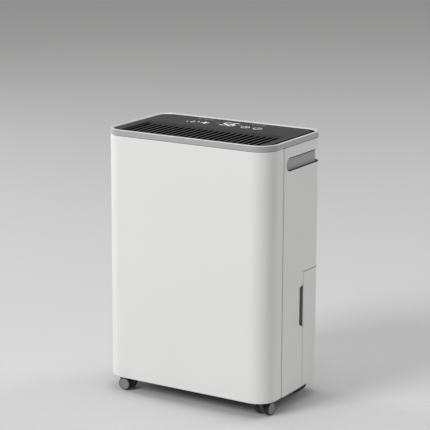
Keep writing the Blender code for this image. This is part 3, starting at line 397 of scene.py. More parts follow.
def stadium(low, high):
    """A bar with round ends, longer along its first direction."""
    radius = (high[1] - low[1]) / 2
    middle = (low[1] + high[1]) / 2
    return (arc((high[0] - radius, middle), radius, -90, 90, 16)
            + arc((low[0] + radius, middle), radius, 90, 270, 16))


def front_path(inset, end_y, corner=FRONT_RADIUS):
    """Round the front, from the right side to the left side."""
    cx, cy, radius = SIDE - corner, corner - BACK, corner - inset
    return [(SIDE - inset, end_y), *arc((cx, cy), radius, 0, -90),
            *arc((-cx, cy), radius, -90, -180), (-SIDE + inset, end_y)]


def rear_path(inset, end_y):
    """Round the back, from the left side to the right side: such a path, turned halfway."""
    return [(-x, -y) for x, y in front_path(inset, -end_y, REAR_RADIUS)]


def footprint(inset):
    return front_path(inset, SEAM_Y)[:-1] + rear_path(inset, SEAM_Y)[:-1]


# ---- solids, in millimetres

def linked(name, data):
    """A new object in the scene."""
    obj = bpy.data.objects.new(name, data)
    bpy.context.scene.collection.objects.link(obj)
    return obj


def temporary(bm):
    """A bmesh as an object, to put modifiers on."""
    mesh = bpy.data.meshes.new("temporary")
    bm.to_mesh(mesh)
    bm.free()
    return linked("temporary", mesh)


def taken(obj):
    """The mesh an object's modifiers or curve give, as a bmesh; the object goes."""
    graph = bpy.context.evaluated_depsgraph_get()
    mesh = bpy.data.meshes.new_from_object(obj.evaluated_get(graph))
    bm = bmesh.new()
    bm.from_mesh(mesh)
    data = obj.data
    bpy.data.objects.remove(obj)
    bpy.data.meshes.remove(mesh)
    (bpy.data.curves if isinstance(data, bpy.types.Curve) else bpy.data.meshes).remove(data)
    return bm


def combined(bm, tool, operation):
    target, cutter = temporary(bm), temporary(tool)
    modifier = target.modifiers.new("combine", "BOOLEAN")
    modifier.operation, modifier.solver, modifier.object = operation, "EXACT", cutter
    bpy.context.view_layer.update()
    made = taken(target)
    taken(cutter).free()
    return made


def cut(bm, *tools):
    for tool in tools:
        bm = combined(bm, tool, "DIFFERENCE")
    return bm


def join(bm, *tools):
    for tool in tools:
        bm = combined(bm, tool, "UNION")
    return bm


def rounded(bm, width, segments=3, choose=None):
    """Fillet the sharp edges. choose gives each edge's own width from its middle, or 0."""
    bmesh.ops.dissolve_limit(bm, angle_limit=math.radians(0.5), verts=bm.verts, edges=bm.edges)
    layer = (bm.edges.layers.float.get("bevel_weight_edge")
             or bm.edges.layers.float.new("bevel_weight_edge"))
    for edge in bm.edges:
        edge[layer] = 0.0
        if len(edge.link_faces) == 2 and edge.calc_face_angle(0.0) > FILLET_ANGLE:
            middle = (edge.verts[0].co + edge.verts[1].co) / 2
            edge[layer] = (choose(middle) if choose else width) / width
    obj = temporary(bm)
    modifier = obj.modifiers.new("fillet", "BEVEL")
    modifier.limit_method = "WEIGHT"
    modifier.width = width
    modifier.segments = segments
    modifier.use_clamp_overlap = True
    modifier.miter_outer = "MITER_ARC"
    bpy.context.view_layer.update()
    return taken(obj)


def quarter(axis, turns=1):
    return Matrix.Rotation(math.radians(90 * turns), 4, axis)


def from_curve(curve, routes, closed):
    """What a curve with a straight-sided spline for each route becomes, as a bmesh."""
    for route in routes:
        spline = curve.splines.new("POLY")
        spline.points.add(len(route) - 1)
        for point, place in zip(spline.points, route):
            point.co = (*place, *[0.0] * (3 - len(place)), 1.0)
        spline.use_cyclic_u = closed
    obj = linked(curve.name, curve)
    bpy.context.view_layer.update()
    bm = taken(obj)
    bmesh.ops.remove_doubles(bm, verts=bm.verts, dist=MERGE)
    return bm


def plate(outlines, low, high, axis="Z"):
    """Flat outlines, holes among them, made solid between two heights along an axis.

    An outline is in (x, y) for Z, in (x, z) for Y and in (y, z) for X.
    """
    curve = bpy.data.curves.new("outline", "CURVE")
    curve.dimensions, curve.fill_mode = "2D", "BOTH"
    curve.extrude = (high - low) / 2
    bm = from_curve(curve, outlines, closed=True)
    middle = (low + high) / 2
    shift, turn = {
        "Z": ((0, 0, middle), Matrix.Identity(4)), "Y": ((0, middle, 0), quarter("X")),
        "X": ((middle, 0, 0), quarter("Z") @ quarter("X")),
    }[axis]
    bmesh.ops.transform(bm, matrix=Matrix.Translation(shift) @ turn, verts=bm.verts)
    bmesh.ops.recalc_face_normals(bm, faces=bm.faces)
    return bm


def boxes(corners):
    """One bmesh with a box for each (low corner, high corner)."""
    bm = bmesh.new()
    for low, high in corners:
        size = [b - a for a, b in zip(low, high)]
        middle = [(a + b) / 2 for a, b in zip(low, high)]
        bmesh.ops.create_cube(bm, size=1.0,
                              matrix=Matrix.Translation(middle) @ Matrix.Diagonal((*size, 1.0)))
    return bm


TURNED_TO = {"X": quarter("Y"), "Y": quarter("X", -1), "Z": Matrix.Identity(4)}


def turned(profile, at=(0, 0, 0), axis="Z", steps=48):
    """A closed profile of (radius, height) points turned about an axis."""
    bm = bmesh.new()
    rings = []
    for radius, height in profile:
        if radius < 1e-6:
            rings.append([bm.verts.new((0, 0, height))])
            continue
        rings.append([bm.verts.new((radius * math.cos(math.tau * step / steps),
                                    radius * math.sin(math.tau * step / steps), height))
                      for step in range(steps)])
    for first, second in zip(rings, rings[1:] + rings[:1]):
        if len(first) == 1 and len(second) == 1:
            continue
        for step in range(steps):
            after = (step + 1) % steps
            corners = [first[step % len(first)], first[after % len(first)],
                       second[after % len(second)], second[step % len(second)]]
            bm.faces.new(list(dict.fromkeys(corners)))
    bmesh.ops.recalc_face_normals(bm, faces=bm.faces)
    bmesh.ops.transform(bm, matrix=Matrix.Translation(at) @ TURNED_TO[axis], verts=bm.verts)
    return bm


def merged(*parts):
    """Several bmeshes as one."""
    result = bmesh.new()
    for part in parts:
        mesh = bpy.data.meshes.new("part")
        part.to_mesh(mesh)
        part.free()
        result.from_mesh(mesh)
        bpy.data.meshes.remove(mesh)
    return result


def tube(route, radius):
    """A round tube with flat ends along a list of points."""
    curve = bpy.data.curves.new("tube", "CURVE")
    curve.dimensions = "3D"
    curve.bevel_depth, curve.bevel_resolution, curve.use_fill_caps = radius, 4, True
    bm = from_curve(curve, [route], closed=False)
    bmesh.ops.recalc_face_normals(bm, faces=bm.faces)
    return bm


def show(name, bm, body, nodes=(), materials=("white",), choose=None):
    """A finished piece: in metres, shaded, riding on a body and standing for its CAD nodes.

    choose names the material of a face from its centre and normal.
    """
    bmesh.ops.scale(bm, vec=(MM, MM, MM), verts=bm.verts)
    if choose:
        for face in bm.faces:
            chosen = choose(face.calc_center_median() / MM, face.normal)
            face.material_index = materials.index(chosen)
    mesh = bpy.data.meshes.new(name)
    bm.to_mesh(mesh)
    bm.free()
    for key in materials:
        mesh.materials.append(MATERIALS[key])
    mesh.shade_smooth()
    mesh.set_sharp_from_angle(angle=SHARP_ANGLE)
    obj = linked(name, mesh)
    weighted = obj.modifiers.new("normals", "WEIGHTED_NORMAL")
    weighted.keep_sharp = True
    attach(obj, body)
    if nodes:
        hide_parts(*nodes)
    return obj


# ---- covers

class Wrap:
    """Bends a flat sheet of (run, depth, height) round the front or the back of the body."""

    def __init__(self, radius, seam_y, facing):
        self.radius, self.facing = radius, facing
        self.flat_side = SIDE - radius
        self.start = seam_y * facing
        self.straight = (BACK - radius) - self.start
        self.bend = math.pi / 2 * radius
        self.across = 2 * self.flat_side
        self.length = 2 * self.straight + 2 * self.bend + self.across

    def run_of_side(self, y):
        return y * self.facing - self.start

    def run_of_back(self, x):
        return self.straight + self.bend + x + self.flat_side

    def point(self, run, depth, height):
        mirrored = run > self.length / 2
        if mirrored:
            run = self.length - run
        centre_y = BACK - self.radius
        reach = self.radius - depth
        if run <= self.straight:
            x, y = -self.flat_side - reach, self.start + run
        elif run <= self.straight + self.bend:
            angle = math.pi - (run - self.straight) / self.radius
            x = -self.flat_side + reach * math.cos(angle)
            y = centre_y + reach * math.sin(angle)
        else:
            x, y = -self.flat_side + run - self.straight - self.bend, centre_y + reach
        return Vector((-x if mirrored else x, y * self.facing, height))

    def bent(self, bm):
        """The sheet's x is the run, y the depth and z the height."""
        for start in (self.straight, self.length - self.straight - self.bend):
            for step in range(ARC_STEPS + 1):
                geometry = bm.verts[:] + bm.edges[:] + bm.faces[:]
                bmesh.ops.bisect_plane(bm, geom=geometry, dist=1e-4, plane_no=(1, 0, 0),
                                       plane_co=(start + self.bend * step / ARC_STEPS, 0, 0))
        for vert in bm.verts:
            vert.co = self.point(*vert.co)
        bmesh.ops.recalc_face_normals(bm, faces=bm.faces)
        return bm


SHELL_WHITE_AND_SHADES = ("white", "gap", "recess", "ledge")
GAP, RECESS, LEDGE = 1, 2, 3      # places in that list


def flat_layer(outlines, near, far):
    """A flat solid of (run, height) outlines between two depths."""
    bm = plate(outlines, -far, -near, axis="Y")
    bmesh.ops.transform(bm, matrix=Matrix.Diagonal((1, -1, 1, 1)), verts=bm.verts)
    bmesh.ops.reverse_faces(bm, faces=bm.faces)
    return bm


def sheet_edge(middle):
    """Fillet width of an edge of a flat body cover: only edges on its outer face have one."""
    if middle.y > NEAR:
        return 0.0
    if middle.z < BODY_LOW + NEAR:
        return EDGE_ROUND
    if middle.z > BODY_TOP - NEAR:
        return TOP_ROUND
    return SEAM_ROUND


def shade_gaps(sheet, skipped=lambda run, z: False):
    """Paint shade on the parts of a flat cover's edges that face a seam, with the near-black seam
    material.
    """
    for face in sheet.faces:
        centre = face.calc_center_median()
        in_wall = SEAM_ROUND < centre.y < WALL + 0.1
        facing_seam = abs(face.normal.y) < 0.3 and centre.z > BODY_LOW + 1
        if in_wall and facing_seam and not skipped(centre.x, centre.z):
            face.material_index = GAP


def build_front_cover():
    wrap = Wrap(FRONT_RADIUS, SEAM_Y - SEAM_GAP / 2, -1)
    sheet = flat_layer([rectangle((0, BODY_LOW), (wrap.length, BODY_TOP))], 0, WALL)
    sheet = rounded(sheet, EDGE_ROUND, segments=5, choose=sheet_edge)
    shade_gaps(sheet)
    show("front_cover_shell", wrap.bent(sheet), "housing", ["front_cover"],
         materials=SHELL_WHITE_AND_SHADES[:2])


def rear_outlines(wrap):
    """Outline of the flat rear cover, notched for the tank and its grips, and its holes."""
    edge = wrap.run_of_side(TANK_FRONT - TANK_GAP)
    notch = wrap.run_of_side(GRIP_FRONT)
    left = [(edge, BODY_LOW), (edge, GRIP_SEAM_LOW), (notch, GRIP_LOW), (notch, GRIP_HIGH),
            (edge, GRIP_SEAM_HIGH), (edge, TANK_TOP + TANK_GAP)]
    mirrored = [(wrap.length - run, z) for run, z in reversed(left)]
    outline = [(0, BODY_LOW), *left, *mirrored, (wrap.length, BODY_LOW),
               (wrap.length, BODY_TOP), (0, BODY_TOP)]
    radii = [0, 0, 1.0, 1.5, 1.5, 1.0, 1.0, 1.0, 1.0, 1.5, 1.5, 1.0, 0, 0, 0, 0]
    back = wrap.run_of_back
    intake = rounded_corners(rectangle((back(-INTAKE_HALF_X), INTAKE_LOW),
                                       (back(INTAKE_HALF_X), INTAKE_HIGH)), 2.0)
    return [rounded_corners(outline, radii), intake,
            circle((back(DRAIN_AT[0]), DRAIN_AT[1]), DRAIN_HOLE),
            circle((back(CORD_AT[0]), CORD_AT[1]), CORD_HOLE)]


def build_rear_cover():
    wrap = Wrap(REAR_RADIUS, SEAM_Y + SEAM_GAP / 2, 1)
    back = wrap.run_of_back
    sheet = flat_layer(rear_outlines(wrap), 0, WALL)
    recesses = []
    for turn in (False, True):
        low, high = wrap.run_of_side(RECESS_FRONT), back(-RECESS_END_X)
        if turn:
            low, high = wrap.length - high, wrap.length - low
        recesses.append(((low, RECESS_LOW), (high, RECESS_HIGH)))
    for low, high in recesses:
        grown = stadium(*shrunk(low, high, -WALL, -WALL))
        sheet = join(sheet, flat_layer([grown], 1.0, RECESS_DEPTH + WALL))
        ends = stadium((low[0] + TRENCH_WIDTH, low[1] + TRENCH_FLOOR),
                       (high[0] - TRENCH_WIDTH, high[1] - TRENCH_ROOF))
        sheet = cut(sheet, flat_layer([stadium(low, high)], -OUTSIDE, RECESS_DEPTH),
                    flat_layer([stadium(low, high), ends], RECESS_DEPTH - 0.5,
                               RECESS_DEPTH + TRENCH_DEPTH))
    for x, z in SCREWS.values():
        boss, hole = (circle((back(x), z), SCREW_HOLE + wall) for wall in (SCREW_WALL, 0))
        sheet = join(sheet, flat_layer([boss], 1.0, SCREW_BOSS))
        sheet = cut(sheet, flat_layer([hole], -OUTSIDE, SCREW_SINK))

    def in_recess(run, z, slack):
        for low, high in recesses:
            radius = (high[1] - low[1]) / 2
            nearest = min(max(run, low[0] + radius), high[0] - radius)
            if math.hypot(run - nearest, z - (low[1] + high[1]) / 2) < radius + slack:
                return True
        return False

    def width(middle):
        if in_recess(middle.x, middle.z, 0.1) and middle.y < RECESS_DEPTH + 0.1:
            return RECESS_ROUND if middle.y < 0.1 else 0.0
        return sheet_edge(middle)

    sheet = rounded(sheet, EDGE_ROUND, segments=4, choose=width)

    def kept_light(run, z):
        near_screw = any(math.hypot(run - back(x), z - at) < SCREW_HOLE + 2
                         for x, at in SCREWS.values())
        return near_screw or in_recess(run, z, 2.0)

    shade_gaps(sheet, kept_light)
    # Painted shade inside each carrying recess: grey on the back wall, near-black on the ledge, and
    # the seam material in the trench.
    for face in sheet.faces:
        centre = face.calc_center_median()
        if in_recess(centre.x, centre.z, 0.3) and centre.y > RECESS_ROUND / 2:
            if centre.y < RECESS_DEPTH + NEAR:
                face.material_index = LEDGE if face.normal.z > 0.3 else RECESS
            elif centre.y < RECESS_DEPTH + TRENCH_DEPTH + NEAR:
                face.material_index = GAP
    show("rear_cover_shell", wrap.bent(sheet), "housing", ["rear_cover"],
         materials=SHELL_WHITE_AND_SHADES)


# ---- top

def build_top_rim():
    """Band round the top edge: ledge for the panel, flat top, sloped inner edge, and a skirt."""
    profile = [
        (0.0, RIM_LOW + 0.2), (0.0, HEIGHT), (4.0, HEIGHT), (6.3, 500.4), (6.3, 497.6),
        (10.0, 497.6), (10.0, 494.5), (5.4, 494.5), (5.4, 484.0), (2.9, 484.0), (2.9, RIM_LOW + 0.2),
    ]
    radii = [0.9, 1.1, 0.5, 0.4, 0.3, 0.3, 0.3, 0.5, 0.5, 0.5, 0.3]
    profile = rounded_corners(profile, radii, steps=4)
    outlines = [footprint(inset) for inset, _ in profile]
    bm = bmesh.new()
    rows = [[bm.verts.new((x, y, z)) for x, y in outline]
            for outline, (_, z) in zip(outlines, profile)]
    for first, second in zip(rows, rows[1:] + rows[:1]):
        count = len(first)
        for index in range(count):
            after = (index + 1) % count
            bm.faces.new((first[index], first[after], second[after], second[index]))
    bmesh.ops.recalc_face_normals(bm, faces=bm.faces)
    # Painted highlight: the rim's upward faces near its top get the lighter silver.
    show("top_rim_band", bm, "housing", ["top_rim"], materials=("trim", "edge"),
         choose=lambda centre, normal: (
             "edge" if normal.z > 0.35 and centre.z > HEIGHT - 2.5 else "trim"))


def build_top_panel():
    """Dark panel with its sunk, slotted outlet."""
    panel = plate([footprint(PANEL_INSET)], PANEL_LOW, PANEL_TOP)
    tray = shrunk((-OUTLET_HALF_X, OUTLET_FRONT), (OUTLET_HALF_X, OUTLET_REAR), -TRAY_WALL,
                  -TRAY_WALL)
    panel = join(panel, boxes([((*tray[0], OUTLET_UNDER), (*tray[1], PANEL_TOP - 1))]))
    side = [(OUTLET_FRONT, OUTLET_FLOOR), (OUTLET_REAR - OUTLET_SLOPE, OUTLET_FLOOR),
            (OUTLET_REAR, PANEL_TOP), (OUTLET_REAR, PANEL_TOP + 5),
            (OUTLET_FRONT, PANEL_TOP + 5)]
    panel = cut(panel, plate([side], -OUTLET_HALF_X, OUTLET_HALF_X, axis="X"),
                plate([footprint(PANEL_INSET - 5), footprint(PANEL_BORDER)],
                      PANEL_TOP - BORDER_SINK, PANEL_TOP + 5))
    slots = []
    for index in range(SLOT_COUNT):
        x = SLOT_MIDDLE_X + (index - (SLOT_COUNT - 1) / 2) * SLOT_PITCH
        slots.append(rounded_corners(rectangle((x - SLOT_WIDTH / 2, SLOT_FRONT),
                                               (x + SLOT_WIDTH / 2, SLOT_REAR)), 1.2, steps=3))
    panel = cut(panel, plate(slots, OUTLET_UNDER - 5, OUTLET_FLOOR + 1))

    def width(middle):
        if middle.z > PANEL_TOP - 0.05:
            return 0.45
        return 0.5 if middle.z > OUTLET_FLOOR - 0.1 else 0.0

    panel = rounded(panel, 0.5, choose=width)

    # Painted shade: the slot walls under the fins, and the faces below the panel's top outside the
    # outlet including its sunk border, get the matte black.
    def finish(centre, normal):
        in_outlet = (abs(centre.x) < OUTLET_HALF_X + 0.1
                     and OUTLET_FRONT - 0.1 < centre.y < OUTLET_REAR + 0.1)
        if in_outlet and centre.z < OUTLET_FLOOR + 0.1:
            return "slots" if centre.z < OUTLET_FLOOR - 0.4 else "fins"
        if in_outlet:
            return "panel"
        return "slots" if centre.z < PANEL_TOP - 0.5 else "panel"

    show("top_panel_plate", panel, "housing", ["top_panel"],
         materials=("panel", "slots", "fins"), choose=finish)


SEGMENTS = {  # start and end of each bar, in a cell 1 wide and 2 high
    "top": ((0, 2), (1, 2)), "middle": ((0, 1), (1, 1)), "bottom": ((0, 0), (1, 0)),
    "upper_left": ((0, 1), (0, 2)), "lower_left": ((0, 0), (0, 1)),
    "lower_right": ((1, 1), (1, 0)),
}
FIVE = ("top", "upper_left", "middle", "lower_right", "bottom")
SIX = (*FIVE, "lower_left")
DIGITS = ((-10.5, FIVE), (6.5, SIX))


def mark(*outlines):
    """A thin solid on the panel's top."""
    return plate(outlines, PANEL_TOP - 0.02, PANEL_TOP + 0.06)


def bar(start, end, thickness):
    """A bar with pointed ends between two points."""
    first, last = Vector(start), Vector(end)
    along = (last - first).normalized()
    across = Vector((-along.y, along.x)) * thickness / 2
    gap = along * 0.45
    tip = along * thickness / 2
    return [tuple(first + gap), tuple(first + gap + tip - across),
            tuple(last - gap - tip - across), tuple(last - gap),
            tuple(last - gap - tip + across), tuple(first + gap + tip + across)]


def droplet(centre, size):
    """A drop with its point away from the front."""
    x, y = centre
    lower = arc((x, y - size * 0.25), size * 0.55, -205, 25, 24)
    return [*lower, (x, y + size * 0.85)]


def petal(centre, angle, near, far, width):
    """One fan blade, as a swept leaf."""
    steps = 8
    edges = []
    for side in (1, -1):
        edge = []
        for step in range(steps + 1):
            share = step / steps
            reach = near + (far - near) * share
            sweep = angle + 0.5 * share + side * width * math.sin(math.pi * share) / reach
            edge.append((centre[0] + reach * math.cos(sweep), centre[1] + reach * math.sin(sweep)))
        edges.append(edge)
    return edges[0] + edges[1][-2:0:-1]


def moved(points, centre):
    return [(centre[0] + x, centre[1] + y) for x, y in points]


def clock_mark(centre):
    up = moved(rectangle((-0.7, -0.7), (0.7, 5.2)), centre)
    across = moved(rectangle((0.8, -0.7), (4.4, 0.7)), centre)
    return [mark(circle(centre, DIAL), circle(centre, DIAL - 1.4)), mark(up), mark(across)]


def power_mark(centre):
    broken = arc(centre, DIAL, -235, 55, 36) + arc(centre, DIAL - 1.5, 55, -235, 36)
    return [mark(broken), mark(moved(rectangle((-0.8, 0.5), (0.8, 9.4)), centre))]


def build_display():
    """Two digits, touch marks and their captions, lit through the panel."""
    digits = []
    for x, names in DIGITS:
        for name in names:
            ends = []
            for u, v in SEGMENTS[name]:
                across, up = (u - 0.5) * DIGIT_WIDTH, (v - 1) * DIGIT_HALF
                ends.append((x + across + DIGIT_SLANT * up, DIGIT_Y + up))
            digits.append(mark(bar(*ends, DIGIT_THICK)))
    show("display_digits", merged(*digits), "housing", materials=("digits",))

    drop = DROPLET_AT
    marks = [mark(droplet(drop, 8.0), droplet(drop - Vector((0, 0.2)), 5.6)),
             mark(droplet(drop + Vector((11.0, 3.0)), 3.6)),
             mark(droplet(drop - Vector((10.5, 3.0)), 3.0))]
    marks += [mark(petal(FAN_AT, math.tau * blade / 4, 1.8, 9.0, 2.4)) for blade in range(4)]
    marks += [mark(circle(FAN_AT, 1.5, 20)), *clock_mark(CLOCK_AT), *power_mark(POWER_AT)]
    show("display_marks", merged(*marks), "housing", materials=("marks",))

    captions = []
    for x, lengths in CAPTIONS:
        for length in lengths:
            captions.append(mark(moved(rectangle((0, 0), (length, CAPTION_HIGH)), (x, CAPTION_Y))))
            x += length + CAPTION_GAP
    for x in (-27.5, 22.5):
        captions.append(mark(rectangle((x - 3.2, 59.6), (x + 3.2, 61.2))))
    show("display_captions", merged(*captions), "housing", materials=("captions",))


# ---- tank

def tank_outline(inset):
    return rear_path(inset, TANK_FRONT + inset)


def build_tank():
    tank = plate([tank_outline(0)], BODY_LOW + 0.3, TANK_TOP)
    tank = cut(tank, plate([tank_outline(TANK_WALL)], TANK_FLOOR + WALL, TANK_LEDGE + 1),
               plate([tank_outline(WALL)], TANK_LEDGE, TANK_TOP + 5),
               plate([rear_path(WALL, TANK_FRONT - 5)], BODY_LOW - 5, TANK_FLOOR))

    def width(middle):
        outside = max(abs(middle.x) - SIDE, middle.y - BACK) > -NEAR
        corner = math.hypot(abs(middle.x) - SIDE + REAR_RADIUS, middle.y - BACK + REAR_RADIUS)
        outside = outside or (abs(middle.x) > SIDE - REAR_RADIUS and corner > REAR_RADIUS - 0.2
                              and middle.y > BACK - REAR_RADIUS)
        if outside and middle.z < BODY_LOW + 0.4:
            return EDGE_ROUND
        if outside or middle.z > TANK_TOP - NEAR:
            return SEAM_ROUND
        return 0.6

    # Painted shade: the tank's front edges and top rim, where it meets the covers, get the
    # near-black seam material.
    def painted_seam_shade(centre, normal):
        front_edge = normal.y < -0.9 and centre.y < TANK_FRONT + 0.1 and abs(centre.x) > SIDE - WALL
        top_edge = normal.z > 0.9 and centre.z > TANK_TOP - 0.1
        return "gap" if front_edge or top_edge else "white"

    tank = rounded(tank, EDGE_ROUND, segments=4, choose=width)
    show("water_tank_bucket", tank, "tank", ["water_tank"],
         materials=("white", "gap"), choose=painted_seam_shade)

    # Painted shade: a thin grey sheet on the tank's front wall inside each grip pocket.
    shade_sheets = []
    for side in (1, -1):
        near, far = sorted((side * (SIDE - 14), side * (SIDE - 0.9)))
        corners = shrunk((near, GRIP_SEAM_LOW), (far, GRIP_SEAM_HIGH), 0, 1)
        shade_sheet = plate([rounded_corners(rectangle(*corners), 1.0)], TANK_FRONT - 0.6,
                    TANK_FRONT + 0.2, axis="Y")
        shade_sheets.append(rounded(shade_sheet, 0.3, segments=2))
    show("tank_pocket_shade_sheets", merged(*shade_sheets), "tank", materials=("grip",))


def build_tank_lid():
    """Lid with a collar round each hole, ribs, and the ears that the float hangs from."""
    low, high = TANK_LEDGE + 0.3, TANK_LEDGE + 2.7
    lid = plate([tank_outline(WALL + 0.3), *(circle(*hole) for hole in LID_HOLES)], low, high)
    lid = rounded(lid, 0.5, segments=2)
    ribs = [rounded(boxes([((x - 1.2, 40.0, high - 0.2), (x + 1.2, 92.0, high + 1.2))]), 0.4,
                    segments=2) for x in LID_RIBS]
    collars = []
    for centre, radius in LID_HOLES:
        near, far, foot, top = radius + 0.2, radius + 2.2, high - 0.2, high + 1.6
        collars.append(turned([(near, foot), (near, top), (far, top), (far, foot)],
                              at=(*centre, 0)))
    ears = []
    for x in (FLOAT_X - 17, FLOAT_X + 14):
        ear = [(PIN_Y - 4, low + 1), (PIN_Y - 4, PIN_Z), *arc((PIN_Y, PIN_Z), 4.0, 180, 360, 12),
               (PIN_Y + 4, low + 1)]
        ears.append(plate([ear, circle((PIN_Y, PIN_Z), 2.4, 20)], x, x + 3, axis="X"))
    show("tank_lid_cover", merged(lid, *ribs, *collars, *ears), "tank",
         ["tank_lid"], materials=("lid",))


# ---- back

def build_intake_grille():
    """Louvred grille with a finger notch in its upper edge."""
    low = (-INTAKE_HALF_X + GRILLE_EDGE, INTAKE_LOW + GRILLE_EDGE)
    high = (INTAKE_HALF_X - GRILLE_EDGE, INTAKE_HIGH - GRILLE_EDGE)
    notch = arc((0.0, high[1]), GRILLE_NOTCH, 360, 180, 24)
    outline = [(high[0], low[1]), high, *notch, (low[0], high[1]), low]
    outlines = [rounded_corners(outline, [1.6, 1.6] + [0.0] * len(notch) + [1.6, 1.6])]
    for column, row, start, end in cells(*shrunk(low, high, 6, 5), GRILLE_COLUMNS, GRILLE_ROWS):
        if column == 1 and row == GRILLE_ROWS - 1:
            continue
        outlines.append(rounded_corners(rectangle(*shrunk(start, end, 3, 2.2)), 2.4, steps=4))
    grille = rounded(plate(outlines, GRILLE_FRONT, GRILLE_BACK, axis="Y"), 0.9,
                     choose=lambda middle: 0.9 if middle.y > GRILLE_BACK - 0.1 else 0.0)
    show("intake_grille_face", grille, "intake", ["intake_grille"])


def build_filter():
    """Filter frame clipped inside the grille, and its net of threads."""
    inside = shrunk(FILTER_LOW, FILTER_HIGH, FILTER_BAR, FILTER_BAR)
    outline = rounded_corners(rectangle(FILTER_LOW, FILTER_HIGH), 2.0)
    windows = [rounded_corners(rectangle(*shrunk(start, end, 1.5, 1.5)), 2.0)
               for _, _, start, end in cells(*inside, 3, 2)]
    ribs = rounded(plate([outline, *windows], FILTER_FRONT, FILTER_FRONT + 3.0, axis="Y"), 0.5,
                   segments=2)
    wall = rounded(plate([outline, rounded_corners(rectangle(*inside), 1.0)],
                         FILTER_FRONT + 2.9, GRILLE_FRONT - 0.3, axis="Y"), 0.4, segments=2)
    show("filter_frame_rails", merged(ribs, wall), "intake", ["filter_frame"],
         materials=("base",))

    threads = []
    near = FILTER_FRONT + 3.3
    (left, bottom), (right, top) = shrunk(*inside, 0.3, 0.3)
    for index in range(int((right - left) / THREAD_PITCH) + 1):
        x = left + index * THREAD_PITCH
        threads.append(((x, near, bottom), (x + THREAD, near + 0.4, top)))
    for index in range(int((top - bottom) / THREAD_PITCH) + 1):
        z = bottom + index * THREAD_PITCH
        threads.append(((left, near + 0.4, z), (right, near + 0.8, z + THREAD)))
    show("filter_net", boxes(threads), "intake", ["filter_mesh"],
         materials=("net",))


def build_screws():
    """Cross-head screws, sunk in the rear cover."""
    head = BACK - SCREW_SINK + 0.3
    profile = [(0, head + 2.3), (1.5, head + 2.25), (2.8, head + 1.9), (3.6, head + 1.2),
               (3.9, head + 0.5), (3.9, head), (1.8, head), (1.8, 85.0), (0, 83.8)]
    for name, (x, z) in SCREWS.items():
        cross = [boxes([((x - across, head + 0.7, z - up), (x + across, head + 5, z + up))])
                 for across, up in ((0.55, 2.1), (2.1, 0.55))]
        screw = cut(turned(profile, at=(x, 0, z), axis="Y", steps=32), *cross)
        show(f"screw_{name}_head", screw, "housing", [f"screw_{name}"],
             materials=("steel",))


def build_rear_fittings():
    x, z = DRAIN_AT
    plug = [(0, 102.7), (2.0, 102.7), (2.6, 102.2), (2.6, 101.0), (6.6, 101.0), (7.4, 100.6),
            (7.6, 100.0), (7.6, 97.3), (4.6, 97.3), (4.6, 86.5), (4.0, 85.5), (0, 85.5)]
    show("drain_plug_cap", turned(plug, at=(x, 0, z), axis="Y"), "plug",
         ["drain_plug"], materials=("rubber",))
    x, z = CORD_AT
    gland = [(3.8, 102.7), (7.4, 102.7), (8.2, 102.3), (8.8, 101.6), (9.0, 100.9), (9.0, 100.0),
             (10.0, 100.0), (10.0, 97.5), (7.0, 97.5), (7.0, 92.0), (3.8, 92.0)]
    show("cord_gland_ring", turned(gland, at=(x, 0, z), axis="Y"), "housing",
         ["cord_gland"], materials=("base",))


# ---- coils

def build_evaporator():
    """Fin pack of the evaporator, seen through the intake, with its tubes' return bends."""
    plates = []
    for index in range(int(2 * COIL_HALF / FIN_PITCH)):
        x = -COIL_HALF + 1.6 + index * FIN_PITCH
        plates.append(((x, COIL_FRONT, COIL_LOW), (x + FIN_THICKNESS, COIL_BACK, COIL_HIGH)))
    for x in (COIL_HALF, -COIL_HALF):
        plates.append(((x - 1.5, COIL_FRONT - 1, 258.8), (x + 1.5, COIL_BACK + 1, COIL_HIGH + 2)))
    show("evaporator_fins", boxes(plates), "housing", ["evaporator"],
         materials=("aluminium",))

    end, lowest = COIL_HALF + 1, COIL_LOW + 12
    tubes = []
    for y, raised in TUBE_ROWS:
        for number in range(TUBE_COUNT):
            z = lowest + number * TUBE_PITCH + raised
            tubes.append(tube([(-end, y, z), (end, y, z)], 3.4))
    for y, raised in TUBE_ROWS:
        for number in range(TUBE_COUNT - 1):      # bends at the right end, then at the left
            side = -1 if number % 2 else 1
            middle = lowest + (number + 0.5) * TUBE_PITCH + raised
            half = TUBE_PITCH / 2
            route = [(side * (end + 9 * math.sin(math.pi * step / 10)), y,
                      middle - half * math.cos(math.pi * step / 10)) for step in range(11)]
            tubes.append(tube(route, 3.2))
    show("evaporator_tubes", merged(*tubes), "housing", materials=("copper",))


# ---- casters

def caster_fork():
    """Web between the wheels, round hood over it and stem, about the swivel axis."""
    outline = [*arc(AXLE, 10.0, -150, 60, 28), (9.0, HOOD_LOW + 1), (-8.0, HOOD_LOW + 1)]
    web = plate([outline, circle(AXLE, 2.3, 20)], -4.2, 4.2, axis="Y")
    web = rounded(web, 0.8, choose=lambda middle: 0.0 if math.hypot(
        middle.x - AXLE[0], middle.z - AXLE[1]) < 3 else 0.8)
    hood = turned([(0, HOOD_HIGH), (11.9, HOOD_HIGH), (12.4, HOOD_HIGH - 0.4),
                   (12.5, HOOD_HIGH - 1.0), (12.5, HOOD_LOW + 0.5), (12.1, HOOD_LOW),
                   (0, HOOD_LOW)])
    stem = turned([(0, 35.5), (3.4, 35.5), (4.0, 34.9), (4.0, HOOD_HIGH - 0.5),
                   (0, HOOD_HIGH - 0.5)], steps=24)
    return merged(web, hood, stem)


